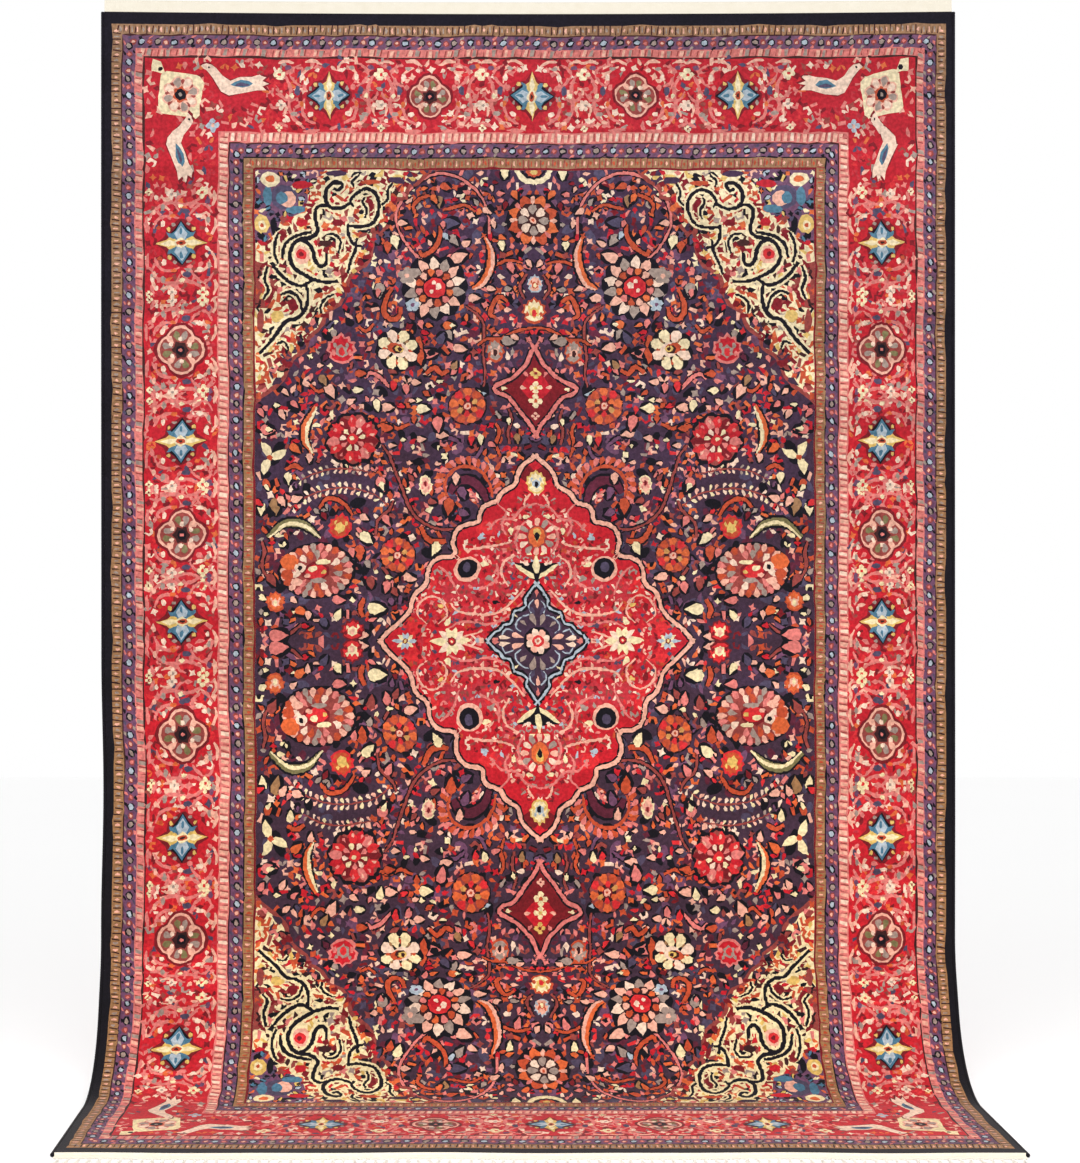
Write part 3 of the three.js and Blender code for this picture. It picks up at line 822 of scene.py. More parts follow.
def spandrel():
    paint = stencil(0, 0)
    paint("ivory", ((FIELD_X + 6, FIELD_Y + 6),
                    (246, FIELD_Y + 6)) + SPANDREL_EDGE[1:-1] + ((FIELD_X + 6, 572),))
    paint("plum", CORNER_EDGE + ((FIELD_X + 6, FIELD_Y + 6),))
    paint("rosewood", ((632, 900), (FIELD_X + 6, 912), (FIELD_X + 6, 796), (640, 800), (622, 840)))
    # a broken outline of hooks and leaves parts the cream from the blue
    ribbon(paint, "rosewood", SPANDREL_EDGE, 10, steps=2)
    draw = random.Random(23)
    for x, y in smooth_line(SPANDREL_EDGE, 2):
        dye = draw.choice(("night", "rust", "night", "ink", "deep", "rose"))
        turn = draw.uniform(0, 360)
        stencil(x + draw.uniform(2, 22), y + draw.uniform(2, 20), turn)(dye, drop(32, 16, -14))
    dyes = ("rust", "rust", "rust", "deep", "deep", "deep", "rosewood", "rosewood", "gold", "ink", "ink",
            "madder", "madder", "orange", "stone", "brown", "rose")
    sprinkle(31, (250, 560), (FIELD_X, FIELD_Y), 18, in_cream, ((560, 926, 22), ), dyes, sizes=(0.48, 0.72))
    sprinkle(32, (500, 940), (FIELD_X, FIELD_Y), 16, in_corner,
             ((600, 1063, 36), (634, 1108, 26), (651, 1000, 26)),
             ("teal", "teal", "slate", "ink", "orange", "ivory", "blush", "sky", "rust", "gold", "deep"),
             ("ink", None), sizes=(0.4, 0.55))
    ovals(paint, (
        (600, 1066, 34, 30, "slate"), (590, 1062, 20, 20, "blush"), (606, 1064, 14, 15, "teal"),
        (572, 1036, 24, 10, "teal"), (640, 1068, 12, 24, "teal"), (634, 1108, 24, 18, "ivory"),
        (634, 1109, 12, 9, "orange"), (652, 1000, 20, 23, "gold"), (652, 998, 10, 12, "ivory"),
        (652, 997, 5, 6, "rust"), (624, 996, 8, 22, "ink"), (394, 1044, 11, 18, "deep"),
        (560, 926, 24, 22, "blush"), (560, 928, 14, 13, "scarlet"), (560, 928, 6, 6, "deep"),
        (580, 806, 14, 16, "deep"), (640, 830, 12, 20, "deep"), (648, 866, 14, 12, "blush"),
        (470, 1004, 14, 9, "deep"), (500, 954, 16, 9, "brown"), (330, 1108, 20, 8, "night"),
        (476, 1122, 26, 8, "night"), (556, 1096, 26, 9, "madder"), (394, 1100, 24, 6, "rust"),
        (556, 1004, 14, 10, "madder"), (604, 974, 11, 13, "deep"), (656, 768, 9, 30, "rosewood"),
        (616, 778, 16, 15, "gold"),
    ))
    for points, width in SCROLLS:
        ribbon(paint, "ivory", points, width * 2.5, 0.25, 2)
    for points, width in SCROLLS:
        ribbon(paint, "ink", points, width * 1.15, 0.25, 3)


# ---- Border ----

# how far each band starts and ends beyond the field's edge
BANDS = (
    (0, 5, "deep"), (5, 28, "tan"), (28, 31, "ink"), (31, 62, "plum"), (62, 65, "brown"), (65, 91, "rose"),
    (91, 268, "madder"), (268, 272, "brown"), (272, 291, "rose"), (291, 321, "plum"), (321, 324, "brown"),
    (324, 348, "tan"), (348, 420, "ink"),
)


def frame_band(start, end, dye):
    paint = stencil(0, 0, mirrors=ONCE)
    for sign in (1, -1):
        low_x, high_x, low_y, high_y = FIELD_X + start, FIELD_X + end, FIELD_Y + start, FIELD_Y + end
        paint(dye, np.array(((-high_x, high_y), (-low_x, low_y), (low_x, low_y), (high_x, high_y))) * (1,
                                                                                                       sign))
        paint(dye, np.array(((high_x, high_y), (low_x, low_y), (low_x, -low_y), (high_x, -high_y))) * (sign,
                                                                                                       1))


def along_frame(distance, pitch):
    """Even places round the whole frame at one distance beyond the field, with the band's direction."""
    places = []
    reach_x, reach_y = FIELD_X + distance, FIELD_Y + distance
    count_x, count_y = round(2 * reach_x / pitch), round(2 * reach_y / pitch)
    for i in range(count_x):
        x = -reach_x + 2 * reach_x * (i + 0.5) / count_x
        places += [(x, reach_y, 0, i), (x, -reach_y, 0, i)]
    for i in range(count_y):
        y = -reach_y + 2 * reach_y * (i + 0.5) / count_y
        places += [(reach_x, y, 90, i), (-reach_x, y, 90, i)]
    return places


def border_ground():
    stencil(0, 0, mirrors=ONCE)("ink", rectangle(FIELD_X + BORDER + 40, FIELD_Y + BORDER + 60))


def guard_stripes():
    for start, end, dye in BANDS:
        frame_band(start, end, dye)
    for middle, bar, spots in ((16, "rosewood", ("rust", "blush")), (336, "brown", ("stone", "blush"))):
        for x, y, way, i in along_frame(middle, 14):
            paint = stencil(x, y, way, mirrors=ONCE)
            paint(bar, ((-5.4, -10), (-2.6, -10), (-1.4, 10), (-4.2, 10)))
            paint(spots[i % 2], oval(2.6, 6.4, 2.4, 0, 6))
    for middle in (46, 306):
        for x, y, way, i in along_frame(middle, 20):
            paint = stencil(x, y, way + 24, mirrors=ONCE)
            if i % 2:
                paint("ink", oval(10, 9.5, points=7))
                paint("sky" if i % 4 == 1 else "stone", oval(7.2, 5.6, 0, 0, 6))
            else:
                paint("rosewood", oval(8, 7.5, points=6))
                paint("rose" if i % 4 else "blush", oval(4.6, 4, points=5))
        for offset in (-11.5, 11.5):
            for x, y, way, i in along_frame(middle + offset, 26):
                dye = ("slate", "ink", "rose", "stone")[i % 4]
                stencil(x, y, way + 30, mirrors=ONCE)(dye, oval(6.5, 3, points=5))
    for middle, half, bars in ((78, 9.5, ("blush", "shell", "blush")),
                               (281, 7.5, ("blush", "stone", "rose"))):
        for x, y, way, i in along_frame(middle, 15.5):
            paint = stencil(x, y, way, mirrors=ONCE)
            paint(bars[i % 3], ((-6, -half), (2, -half), (5, half), (-3, half)))
            paint("rosewood", ((3.6, -half), (5.8, -half), (8.8, half), (6.6, half)))


def teal_palmette(paint):
    """A cross-shaped flower: gold leaves up and down, blue leaves to the sides, a cream heart."""
    paint("deep", ((0, -62), (16, -38), (36, -34), (56, -6), (56, 6), (36, 34), (16, 38), (0, 62), (-16, 38),
                   (-36, 34), (-56, 6), (-56, -6), (-36, -34), (-16, -38)))
    for side in (-1, 1):
        paint("ink", np.array(((4, -24), (24, -26), (34, -16), (54, 0), (34, 16), (24, 26), (4, 24))) * (side,
                                                                                                         1))
        paint("teal", np.array(((6, -20), (22, -22), (30, -13), (50, 0), (30, 13), (22, 22),
                                (6, 20))) * (side, 1))
        paint("sky", np.array(((10, -10), (22, -15), (42, 0), (22, 15), (10, 10))) * (side, 1))
        paint("teal", oval(9, 4, side * 28, 0, 6))
        for end in (-1, 1):
            paint("teal", leaf(22, 10) @ facing(52) * (side, end) + (side * 12, end * 16))
            paint("gold", oval(5, 5, side * 32, end * 28, 6))
            paint("stone", oval(4, 6, side * 44, end * 17, 6))
    for end in (-1, 1):
        paint("gold", np.array(((-9, 12), (-15, 28), (-8, 34), (0, 60), (8, 34), (15, 28), (9, 12))) * (1,
                                                                                                        end))
        paint("ivory", np.array(((-4, 14), (-7, 28), (0, 48), (7, 28), (4, 14))) * (1, end))
    paint("ivory", ((0, -22), (13, 0), (0, 22), (-13, 0)))
    paint("rust", oval(6, 12, 0, 0, 8))
    paint("brown", oval(3, 6, 0, 0, 6))


def dark_palmette(paint):
    """A lozenge of mottled petals round a nearly black eye."""
    paint("deep", lobed(64, 14, 4, turn=45, steps=6))
    paint("blush", lobed(57, 13, 4, turn=45, steps=6))
    paint("rosewood", lobed(51, 12, 4, turn=45, steps=6))
    ring_of_petals(paint, 12, 20, drop(24, 15), ("stone", "blush", "olive"), 15)
    for i in range(6):
        place = polar(i * 60, 25)
        paint("shell", oval(6, 5.5, place[0], place[1], 6))
    paint("brown", lobed(21, 5, 6, steps=2))
    paint("ink", oval(12, 11, points=8))
    paint("rose", oval(4, 5, 0, 0, 6))


def corner_rosette(paint):
    paint("ivory", ((-50, -42), (-42, -52), (40, -50), (52, -38), (54, 42), (44, 54), (-38, 50), (-52, 38)))
    paint("blush", lobed(46, 8, 8))
    ring_of_petals(paint, 8, 15, drop(27, 18), ("shell", "stone"), 22.5)
    ring_of_petals(paint, 8, 24, drop(14, 7), ("rosewood",))
    paint("rust", lobed(21, 5, 6, steps=2))
    paint("ink", oval(14, points=8))
    paint("stone", oval(5, points=6))


def bird(paint):
    """A plain long-necked bird, its head towards +x and +y."""
    body = ((-96, 18), (-86, 10), (-102, 2), (-84, -2), (-94, -14), (-70, -12), (-36, -18), (0, -22),
            (16, -12), (26, 4), (36, 22), (48, 40), (62, 52), (50, 58), (36, 56), (24, 44), (12, 26),
            (-6, 14), (-30, 20), (-60, 20), (-80, 24))
    paint("deep", np.array(body) * 1.08)
    paint("shell", body)
    paint("teal", leaf(58, 22, 3, -62, 2))
    paint("slate", leaf(40, 9, 3, -54, 0))
    paint("ink", oval(3, 3, 44, 50, 5))


VINE_LINES = (
    # points, dye, width
    (((60, -78), (84, -58), (98, -26), (92, 12), (104, 44), (122, 62)), "rose", 9),
    (((70, 76), (92, 60), (84, 34), (66, 22)), "rose", 8),
    (((40, 70), (62, 56), (70, 30)), "blush", 7),
    (((34, -66), (56, -56), (66, -30), (60, -6)), "rose", 8),
    (((100, -74), (122, -66)), "rose", 9),
    (((76, -4), (94, -12), (110, -6), (118, 10)), "rose", 7),
    (((110, -50), (106, -28), (118, -14)), "blush", 7),
    (((88, 78), (106, 84), (124, 78)), "blush", 8),
    (((20, 74), (40, 84), (60, 82)), "blush", 8),
    (((24, -82), (44, -84), (64, -84)), "rose", 8),
)

VINE_BLOSSOMS = (
    # x, y, half width, half height, dye
    (76, 12, 7, 12, "slate"), (86, -44, 9, 6, "stone"), (100, 68, 8, 6, "plum"), (64, 44, 6, 9, "shell"),
    (46, -44, 8, 6, "shell"), (104, 22, 6, 10, "scarlet"), (90, 0, 5, 7, "ivory"), (54, 66, 8, 5, "stone"),
    (74, -66, 8, 5, "blush"), (66, -20, 5, 8, "orange"), (108, -60, 6, 5, "shell"), (58, 20, 6, 8, "rose"),
    (84, 50, 9, 6, "scarlet"), (44, -72, 8, 4, "deep"), (30, 62, 6, 5, "shell"), (36, -54, 5, 6, "rust"),
)


def shifted(paint, x, y, side):
    """Paints round (x, y) instead, flipped across when side is -1."""
    def paint_there(dye, outline):
        paint(dye, (outline + (x, y)) * (side, 1))
    return paint_there


def vine_unit(paint):
    """The meander of vines and blossoms between two border flowers, about 120 to either side."""
    for side in (-1, 1):
        for points, dye, width in VINE_LINES:
            ribbon(paint, dye, np.array(points) * (side, 1), width, 0.5, 3)
        for x, y, radius, petal, middle in ((120, 52, 15, "ivory", "scarlet"),
                                            (118, -22, 13, "shell", "stone"), (122, -78, 9, "ivory", "deep")):
            small_flower(shifted(paint, x, y, side), radius, petal, middle, 4)
        for x, y, rx, ry, dye in VINE_BLOSSOMS:
            paint(dye, oval(rx, ry, side * x, y, 7))


END_FLOWERS = (-490, -245, 0, 245, 490)
SIDE_FLOWERS = (954, 697, 479, 254, 46, -209, -439, -666, -954)
BORDER_DYES = ("rose", "rose", "rose", "rose", "blush", "blush", "faded_red", "scarlet", "deep", "deep",
               "stone", "shell", "slate", "rosewood", "orange")


def main_border():
    middle = 179
    top = FIELD_Y + middle
    side = FIELD_X + middle
    flowers = [(x, top, 62) for x in END_FLOWERS] + [(side, y, 62) for y in SIDE_FLOWERS]
    corner = [(side, top, 58), (735, 1330, 40), (690, 1328, 42), (776, 1356, 26), (866, 1196, 40),
              (866, 1150, 40), (890, 1240, 30), (774, 1236, 22), (900, 1376, 26)]

    def in_top_band(x, y):
        return FIELD_Y + 97 < y < FIELD_Y + 264

    def in_side_band(x, y):
        return FIELD_X + 97 < x < FIELD_X + 264

    low_x, low_y = FIELD_X + 90, FIELD_Y + 90
    high_x, high_y = FIELD_X + 266, FIELD_Y + 266
    lower_corner = [(x, -y, radius) for x, y, radius in corner]
    sprinkle(51, (8, low_y), (high_x, high_y), 20, in_top_band, flowers + corner, BORDER_DYES,
             sizes=(0.42, 0.56))
    sprinkle(52, (low_x, -low_y), (high_x, low_y), 20, in_side_band, flowers + corner + lower_corner,
             BORDER_DYES, mirrors=TWO_SIDES, sizes=(0.42, 0.56))
    # vines and blossoms, then the flowers that they join
    for x in END_FLOWERS:
        vine_unit(stencil(x, top, mirrors=TWO_ENDS))
    for y in SIDE_FLOWERS:
        vine_unit(stencil(side, y, 90, mirrors=TWO_SIDES))
    for x in (-490, 0, 490):
        teal_palmette(stencil(x, top, mirrors=TWO_ENDS))
    for x in (-247, 247):
        dark_palmette(stencil(x, top, 0, 0.9, mirrors=TWO_ENDS))
    for number, y in enumerate(SIDE_FLOWERS):
        flower = dark_palmette if number % 2 else teal_palmette
        flower(stencil(side, y, 90, 1.04, mirrors=TWO_SIDES))
    corner_rosette(stencil(side, top, 8))
    bird(stencil(735, 1330, -4))
    bird(stencil(866, 1196, 75, 0.98))
    stencil(902, 1378)("ivory", ((-16, -18), (20, -10), (18, 18), (-4, 14)))
    stencil(900, 1374)("ink", oval(6, points=6))
    small_flower(stencil(774, 1236), 17, "sky", "blush", 4)


def draw_field():
    field_ground()
    field_shadows()
    field_filling()
    vines()
    small_buds()
    field_flowers()
    spandrel()
    pendant()
    medallion()


def draw_border():
    border_ground()
    guard_stripes()
    main_border()


# ---- From the cartoon to the rug ----

# where the medallion's middle lies on the flat rug, and how the woven lengths of each half came out
MIDDLE_X, MIDDLE_S = 22.8, 1508
LEFT_HALF = ((0, 670, 1045), (0, 677, 1048))
RIGHT_HALF = ((0, 670, 1045), (0, 663, 1002.4))
UPPER_HALF = ((0, 1131, 1506), (0, 1131.4, 1506.5))
LOWER_HALF = ((0, 700, 850, 1131, 1400, 1506), (0, 753, 868, 1169, 1475, 1626))
WARP_DRIFT = 10.8


def beyond(value, table):
    """Reads the table, going straight on past its last entry."""
    known, given = table
    return np.interp(value, known, given) + np.maximum(value - known[-1], 0)


def to_flat(points):
    """Design millimetres to the flat rug, x across and s down. No line comes out quite straight."""
    x, y = points[:, 0], points[:, 1]
    across = np.where(x < 0, -beyond(-x, LEFT_HALF), beyond(x, RIGHT_HALF))
    down = np.where(y > 0, -beyond(y, UPPER_HALF), beyond(-y, LOWER_HALF))
    drift = WARP_DRIFT * down / FIELD_Y * (1 - np.minimum(np.abs(x) / FIELD_X, 1))
    hand_x = 1.3 * np.sin(y / 46 + 1.3) + 0.8 * np.sin(y / 19 + x / 61) + 0.5 * np.sin(x / 13 + y / 11)
    hand_s = 1.2 * np.sin(x / 52 + 0.4) + 0.8 * np.sin(x / 21 - y / 73) + 0.5 * np.sin(y / 12 - x / 15)
    return np.stack((MIDDLE_X + across + drift + hand_x, MIDDLE_S + down + hand_s), axis=1)


def refined(outline, longest=40):
    """Adds points along an outline's long edges."""
    following = np.roll(outline, -1, axis=0)
    counts = np.ceil(np.linalg.norm(following - outline, axis=1) / longest).astype(int)
    if counts.max() <= 1:
        return outline
    pieces = [a + (b - a) * (np.arange(n) / n)[:, None] for a, b, n in zip(outline, following, counts)]
    return np.concatenate(pieces)


# the lines between two dyes run between the points of a grid this coarse
KNOT = 3.2

# how closely the cloth is divided: across it, and down it where it hangs, bends and lies
GRID_COLUMNS = 34
GRID_MARGIN = 20
HANGING_STEP = 58
BENDING_STEP = 15
LYING_STEP = 34


def triangulated(points, edges, faces):
    """Joins the points up into triangles that keep to the edges: points, triangles and each one's origins."""
    found = delaunay_2d_cdt([tuple(p) for p in points], edges, faces, 0, 1e-6, True)
    return np.array([tuple(p) for p in found[0]]), np.array([tuple(f) for f in found[2]]), found[5]


def edges_of(triangles):
    """Every triangle's three edges, low index first, with the triangle each belongs to."""
    edges = np.concatenate((triangles[:, (0, 1)], triangles[:, (1, 2)], triangles[:, (2, 0)]))
    owners = np.tile(np.arange(len(triangles)), 3)
    return edges, owners


def parting_edges(triangles, labels):
    """The edges between triangles that have different labels, or have a triangle on one side only."""
    edges, owners = edges_of(triangles)
    edges = np.sort(edges, axis=1)
    order = np.lexsort((edges[:, 1], edges[:, 0]))
    edges, owners = edges[order], owners[order]
    same_as_next = np.append((edges[1:] == edges[:-1]).all(axis=1), False)
    same_as_last = np.insert(same_as_next[:-1], 0, False)
    lone = ~same_as_next & ~same_as_last
    pairs = np.flatnonzero(same_as_next)
    differing = pairs[labels[owners[pairs]] != labels[owners[pairs + 1]]]
    return edges[lone], edges[differing]


def stations(low, high):
    """Where the flat rug is divided along its length: closely where it bends."""
    bend_start, bend_end = WALL_RUN - 20, FLOOR_START + 20
    every = np.concatenate((np.arange(GRID_MARGIN, bend_start, HANGING_STEP),
                            np.arange(bend_start, bend_end, BENDING_STEP),
                            np.arange(bend_end + 10, PILE_LENGTH, LYING_STEP)))
    return every[(every > low) & (every < high)]


def rug_grid(low, high):
    """Points all over a stretch of the flat rug, so that it bends smoothly."""
    columns = np.linspace(low[0] + GRID_MARGIN, high[0] - GRID_MARGIN, GRID_COLUMNS)
    across, down = np.meshgrid(columns, stations(low[1] + 3, high[1] - 3))
    return np.stack((across.ravel(), down.ravel()), axis=1)


def lookup_tree(points, triangles):
    return BVHTree.FromPolygons([(x, s, 0) for x, s in points], [tuple(t) for t in triangles.tolist()])


def looked_up(tree, points):
    """Which triangle of the tree each point lies in, or -1 outside them all."""
    found = (tree.find_nearest((x, s, 0)) for x, s in points)
    return np.array([index if distance < 0.01 else -1 for place, normal, index, distance in found])


def cut_patches(drawn, region, hole=None, seams=()):
    """Lays the dyed shapes over each other inside region: points, triangles and each triangle's dye."""
    outlines = [region, region[:3] if hole is None else hole] + [to_flat(refined(outline)) for dye,
                                                                 outline in drawn]
    points = np.round(np.concatenate(outlines), 3)
    ends = np.cumsum([len(outline) for outline in outlines])
    faces = []
    for start, end in zip(np.insert(ends[:-1], 0, 0), ends):
        x, s = points[start:end].T
        doubled_area = np.sum(x * np.roll(s, -1) - np.roll(x, -1) * s)
        faces.append(list(range(start, end)) if doubled_area > 0 else list(range(end - 1, start - 1, -1)))
    points, triangles, origins = triangulated(points, [], faces)
    names = sorted({dye for dye, outline in drawn})
    dye_numbers = [names.index(dye) for dye, outline in drawn]
    inside = np.array([0 in origin and (hole is None or 1 not in origin) for origin in origins])
    upper = np.array([dye_numbers[max(origin) - 2] if origin and max(origin) > 1 else 0
                      for origin in origins])
    triangles, upper = triangles[inside], upper[inside]
    rim, partings = parting_edges(triangles, upper)
    tree = lookup_tree(points, triangles)
    # away from the rim, the lines between two dyes run from knot to knot
    knotted = np.round(points / KNOT) * KNOT
    knotted[rim.ravel()] = points[rim.ravel()]
    lines = np.concatenate((rim, partings)).ravel()
    kept, numbered = np.unique(knotted[lines], axis=0, return_inverse=True)
    lines = np.sort(numbered.reshape(-1, 2), axis=1)
    lines = np.unique(lines[lines[:, 0] != lines[:, 1]], axis=0)
    grid = rug_grid(kept.min(axis=0), kept.max(axis=0))
    seam_ends = np.array(seams, float).reshape(-1, 2)
    every = np.concatenate((kept, seam_ends, grid[looked_up(tree, grid) >= 0]))
    seam_edges = (len(kept) + np.arange(len(seam_ends))).reshape(-1, 2)
    edges = np.concatenate((lines, seam_edges))
    points, triangles, origins = triangulated(every, edges.tolist(), [])
    under = looked_up(tree, points[triangles].mean(axis=1))
    inside = under >= 0
    return points, triangles[inside], upper[under[inside]], names


def slab(name, patches, pattern_h, plain_h, finishes, plain_finish, plates):
    """A closed sheet: the pattern at one height, a plain face at the other, and walls between them."""
    points, triangles, dye_numbers, names = patches
    rim, partings = parting_edges(triangles, dye_numbers)
    # the rim's edges in the direction that its triangles go round
    edges, owners = edges_of(triangles)
    size = len(points)
    is_rim = np.isin(np.sort(edges, axis=1) @ (size, 1), rim @ (size, 1))
    rim = edges[is_rim]
    # the plain face shares the rim and is coarse within it
    corners, numbered = np.unique(rim, return_inverse=True)
    tree = lookup_tree(points, triangles)
    grid = rug_grid(points.min(axis=0), points.max(axis=0))
    every = np.concatenate((points[corners], grid[looked_up(tree, grid) >= 0]))
    plain_points, plain_triangles, origins = triangulated(every, numbered.reshape(-1, 2).tolist(), [])
    plain_triangles = plain_triangles[looked_up(tree, plain_points[plain_triangles].mean(axis=1)) >= 0]
    partner = np.full(size, -1)
    partner[corners] = size + np.arange(len(corners))
    flat = np.concatenate((points, plain_points))
    heights = np.concatenate((np.full(size, pattern_h), np.full(len(plain_points), plain_h)))
    a, b = rim.T
    walls = np.concatenate((np.stack((b, a, partner[a]), axis=1),
                            np.stack((b, partner[a], partner[b]), axis=1)))
    faces = np.concatenate((triangles, plain_triangles[:, ::-1] + size, walls))
    if pattern_h > plain_h:
        faces = faces[:, ::-1]
    placed = rug_point(flat[:, 0], flat[:, 1], heights)
    plain_number = len(names)
    numbers = np.concatenate((dye_numbers, np.full(len(plain_triangles) + len(walls), plain_number)))
    smooth = np.ones(len(faces), bool)
    smooth[len(triangles) + len(plain_triangles):] = False
    made = new_piece(name, "knotted_pile", placed, faces.tolist(),
                     [finishes[dye] for dye in names] + [plain_finish], numbers, smooth)
    # hard edges where the walls meet the faces
    mesh = made.data
    ends = np.empty(len(mesh.edges) * 2, np.int64)
    mesh.edges.foreach_get("vertices", ends)
    total = len(flat)
    hard = np.concatenate((rim, partner[rim]))
    sharp = np.isin(np.sort(ends.reshape(-1, 2), axis=1) @ (total, 1), np.sort(hard, axis=1) @ (total, 1))
    mesh.attributes.new("sharp_edge", "BOOLEAN", "EDGE").data.foreach_set("value", sharp)
    corners_flat = flat[faces.ravel()]
    set_uv(mesh, "flat", corners_flat * MM)
    set_uv(mesh, "OFBake", plate_places(corners_flat, flat[faces].mean(axis=1), len(triangles), plates))
    return made


def plate_places(corners, middles, patterned, plates):
    """Lays the pattern's plates side by side in a unit square, and everything plain in its bottom strip."""
    strip = 0.03
    across = [s1 - s0 if turned else x1 - x0 for x0, x1, s0, s1, turned in plates]
    height = max(x1 - x0 if turned else s1 - s0 for x0, x1, s0, s1, turned in plates)
    placed = np.full_like(corners, 0.5)
    left = 0.0
    for (x0, x1, s0, s1, turned), width in zip(plates, across):
        within = (middles[:, 0] >= x0) & (middles[:, 0] <= x1) & (middles[:, 1] >= s0) & (middles[:, 1] <= s1)
        within = np.repeat(within, 3)
        u, v = corners[within, 0] - x0, corners[within, 1] - s0
        if turned:
            u, v = v, x1 - x0 - u
        placed[within, 0] = (left + u) / sum(across)
        placed[within, 1] = 1 - v / height * (1 - strip)
        left += width
    plain = slice(patterned * 3, None)
    placed[plain, 0] = (corners[plain, 0] + PILE_WIDTH / 2) / PILE_WIDTH
    placed[plain, 1] = corners[plain, 1] / PILE_LENGTH * strip * 0.6
    return np.clip(placed, 0.001, 0.999)


def set_uv(mesh, name, places):
    """Lays the mesh out flat: places holds one (u, v) for each corner of each face."""
    layer = mesh.uv_layers.new(name=name)
    layer.uv.foreach_set("vector", np.ascontiguousarray(places, np.float32).ravel())


def set_flat_uv(mesh, places):
    """The same from one flat place for each point, in millimetres."""
    corners = np.empty(len(mesh.loops), np.int32)
    mesh.loops.foreach_get("vertex_index", corners)
    set_uv(mesh, "flat", (np.concatenate(places) * MM)[corners])


def new_piece(name, node, points, faces, materials, numbers=None, smooth=True):
    """A mesh object that rides on the rug and stands for one of the part's nodes."""
    mesh = bpy.data.meshes.new(name)
    mesh.from_pydata(np.asarray(points).tolist(), [], [tuple(face) for face in faces])
    for material in materials:
        mesh.materials.append(material)
    if numbers is not None:
        mesh.polygons.foreach_set("material_index", np.asarray(numbers, np.int32))
    mesh.polygons.foreach_set("use_smooth",
                              np.broadcast_to(np.asarray(smooth, bool), len(mesh.polygons)).copy())
    mesh.update()
    made = bpy.data.objects.new(name, mesh)
    bpy.context.scene.collection.objects.link(made)
    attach(made, "root")
    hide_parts(node)
    return made


# ---- Finishes ----

def linear(hex_colour):
    """An sRGB hex colour as linear red, green, blue and alpha."""
    channels = [int(hex_colour[i:i + 2], 16) / 255 for i in (1, 3, 5)]
    return [c / 12.92 if c <= 0.04045 else ((c + 0.055) / 1.055)**2.4 for c in channels] + [1.0]


def add_node(tree, kind, values=(), links=(), **settings):
    """Adds a node: values go into its inputs, links join other nodes' outputs to them."""
    made = tree.nodes.new(kind)
    for setting, value in settings.items():
        setattr(made, setting, value)
    for socket, value in dict(values).items():
        made.inputs[socket].default_value = value
    for socket, source in dict(links).items():
        tree.links.new(source, made.inputs[socket])
    return made


def new_material(name):
    material = bpy.data.materials.new(name)
    material.use_nodes = True
    material.node_tree.nodes.clear()
    return material, material.node_tree


# Dyed wool: each dye in a paler, worn form and in its full colour. The paler form lies in random
# worn patches and, as a painted haze of light, more and more towards the top of the rug
DYES = {
    "ink": ("#1c1824", "#100c14"),
    "night": ("#4b3753", "#412b3a"),
    "slate": ("#5c5470", "#4c4156"),
    "plum": ("#7a5570", "#6e4560"),
    "stone": ("#ab9990", "#a08a7e"),
    "sky": ("#b2c0cc", "#adb8c0"),
    "teal": ("#5c869c", "#49738a"),
    "madder": ("#c02a38", "#c41c28"),
    "scarlet": ("#d23a40", "#d82c30"),
    "deep": ("#86222e", "#78181f"),
    "rosewood": ("#a04c48", "#93403a"),
    "rust": ("#c4583e", "#c24c2c"),
    "orange": ("#e07448", "#dd6434"),
    "ochre": ("#d09c64", "#cf9350"),
    "rose": ("#de807a", "#de7a72"),
    "blush": ("#f0b8a4", "#edac94"),
    "shell": ("#f6d8c4", "#f3d0b6"),
    "ivory": ("#f5e4c0", "#f1dba8"),
    "gold": ("#e6c47c", "#dcb460"),
    "tan": ("#a07c60", "#a0744c"),
    "olive": ("#8c8560", "#7a7048"),
    "brown": ("#4c2a2a", "#38191a"),
    "mulberry": ("#6e3048", "#5c1f30"),
    "faded_red": ("#c43a44", "#c0303a"),
}


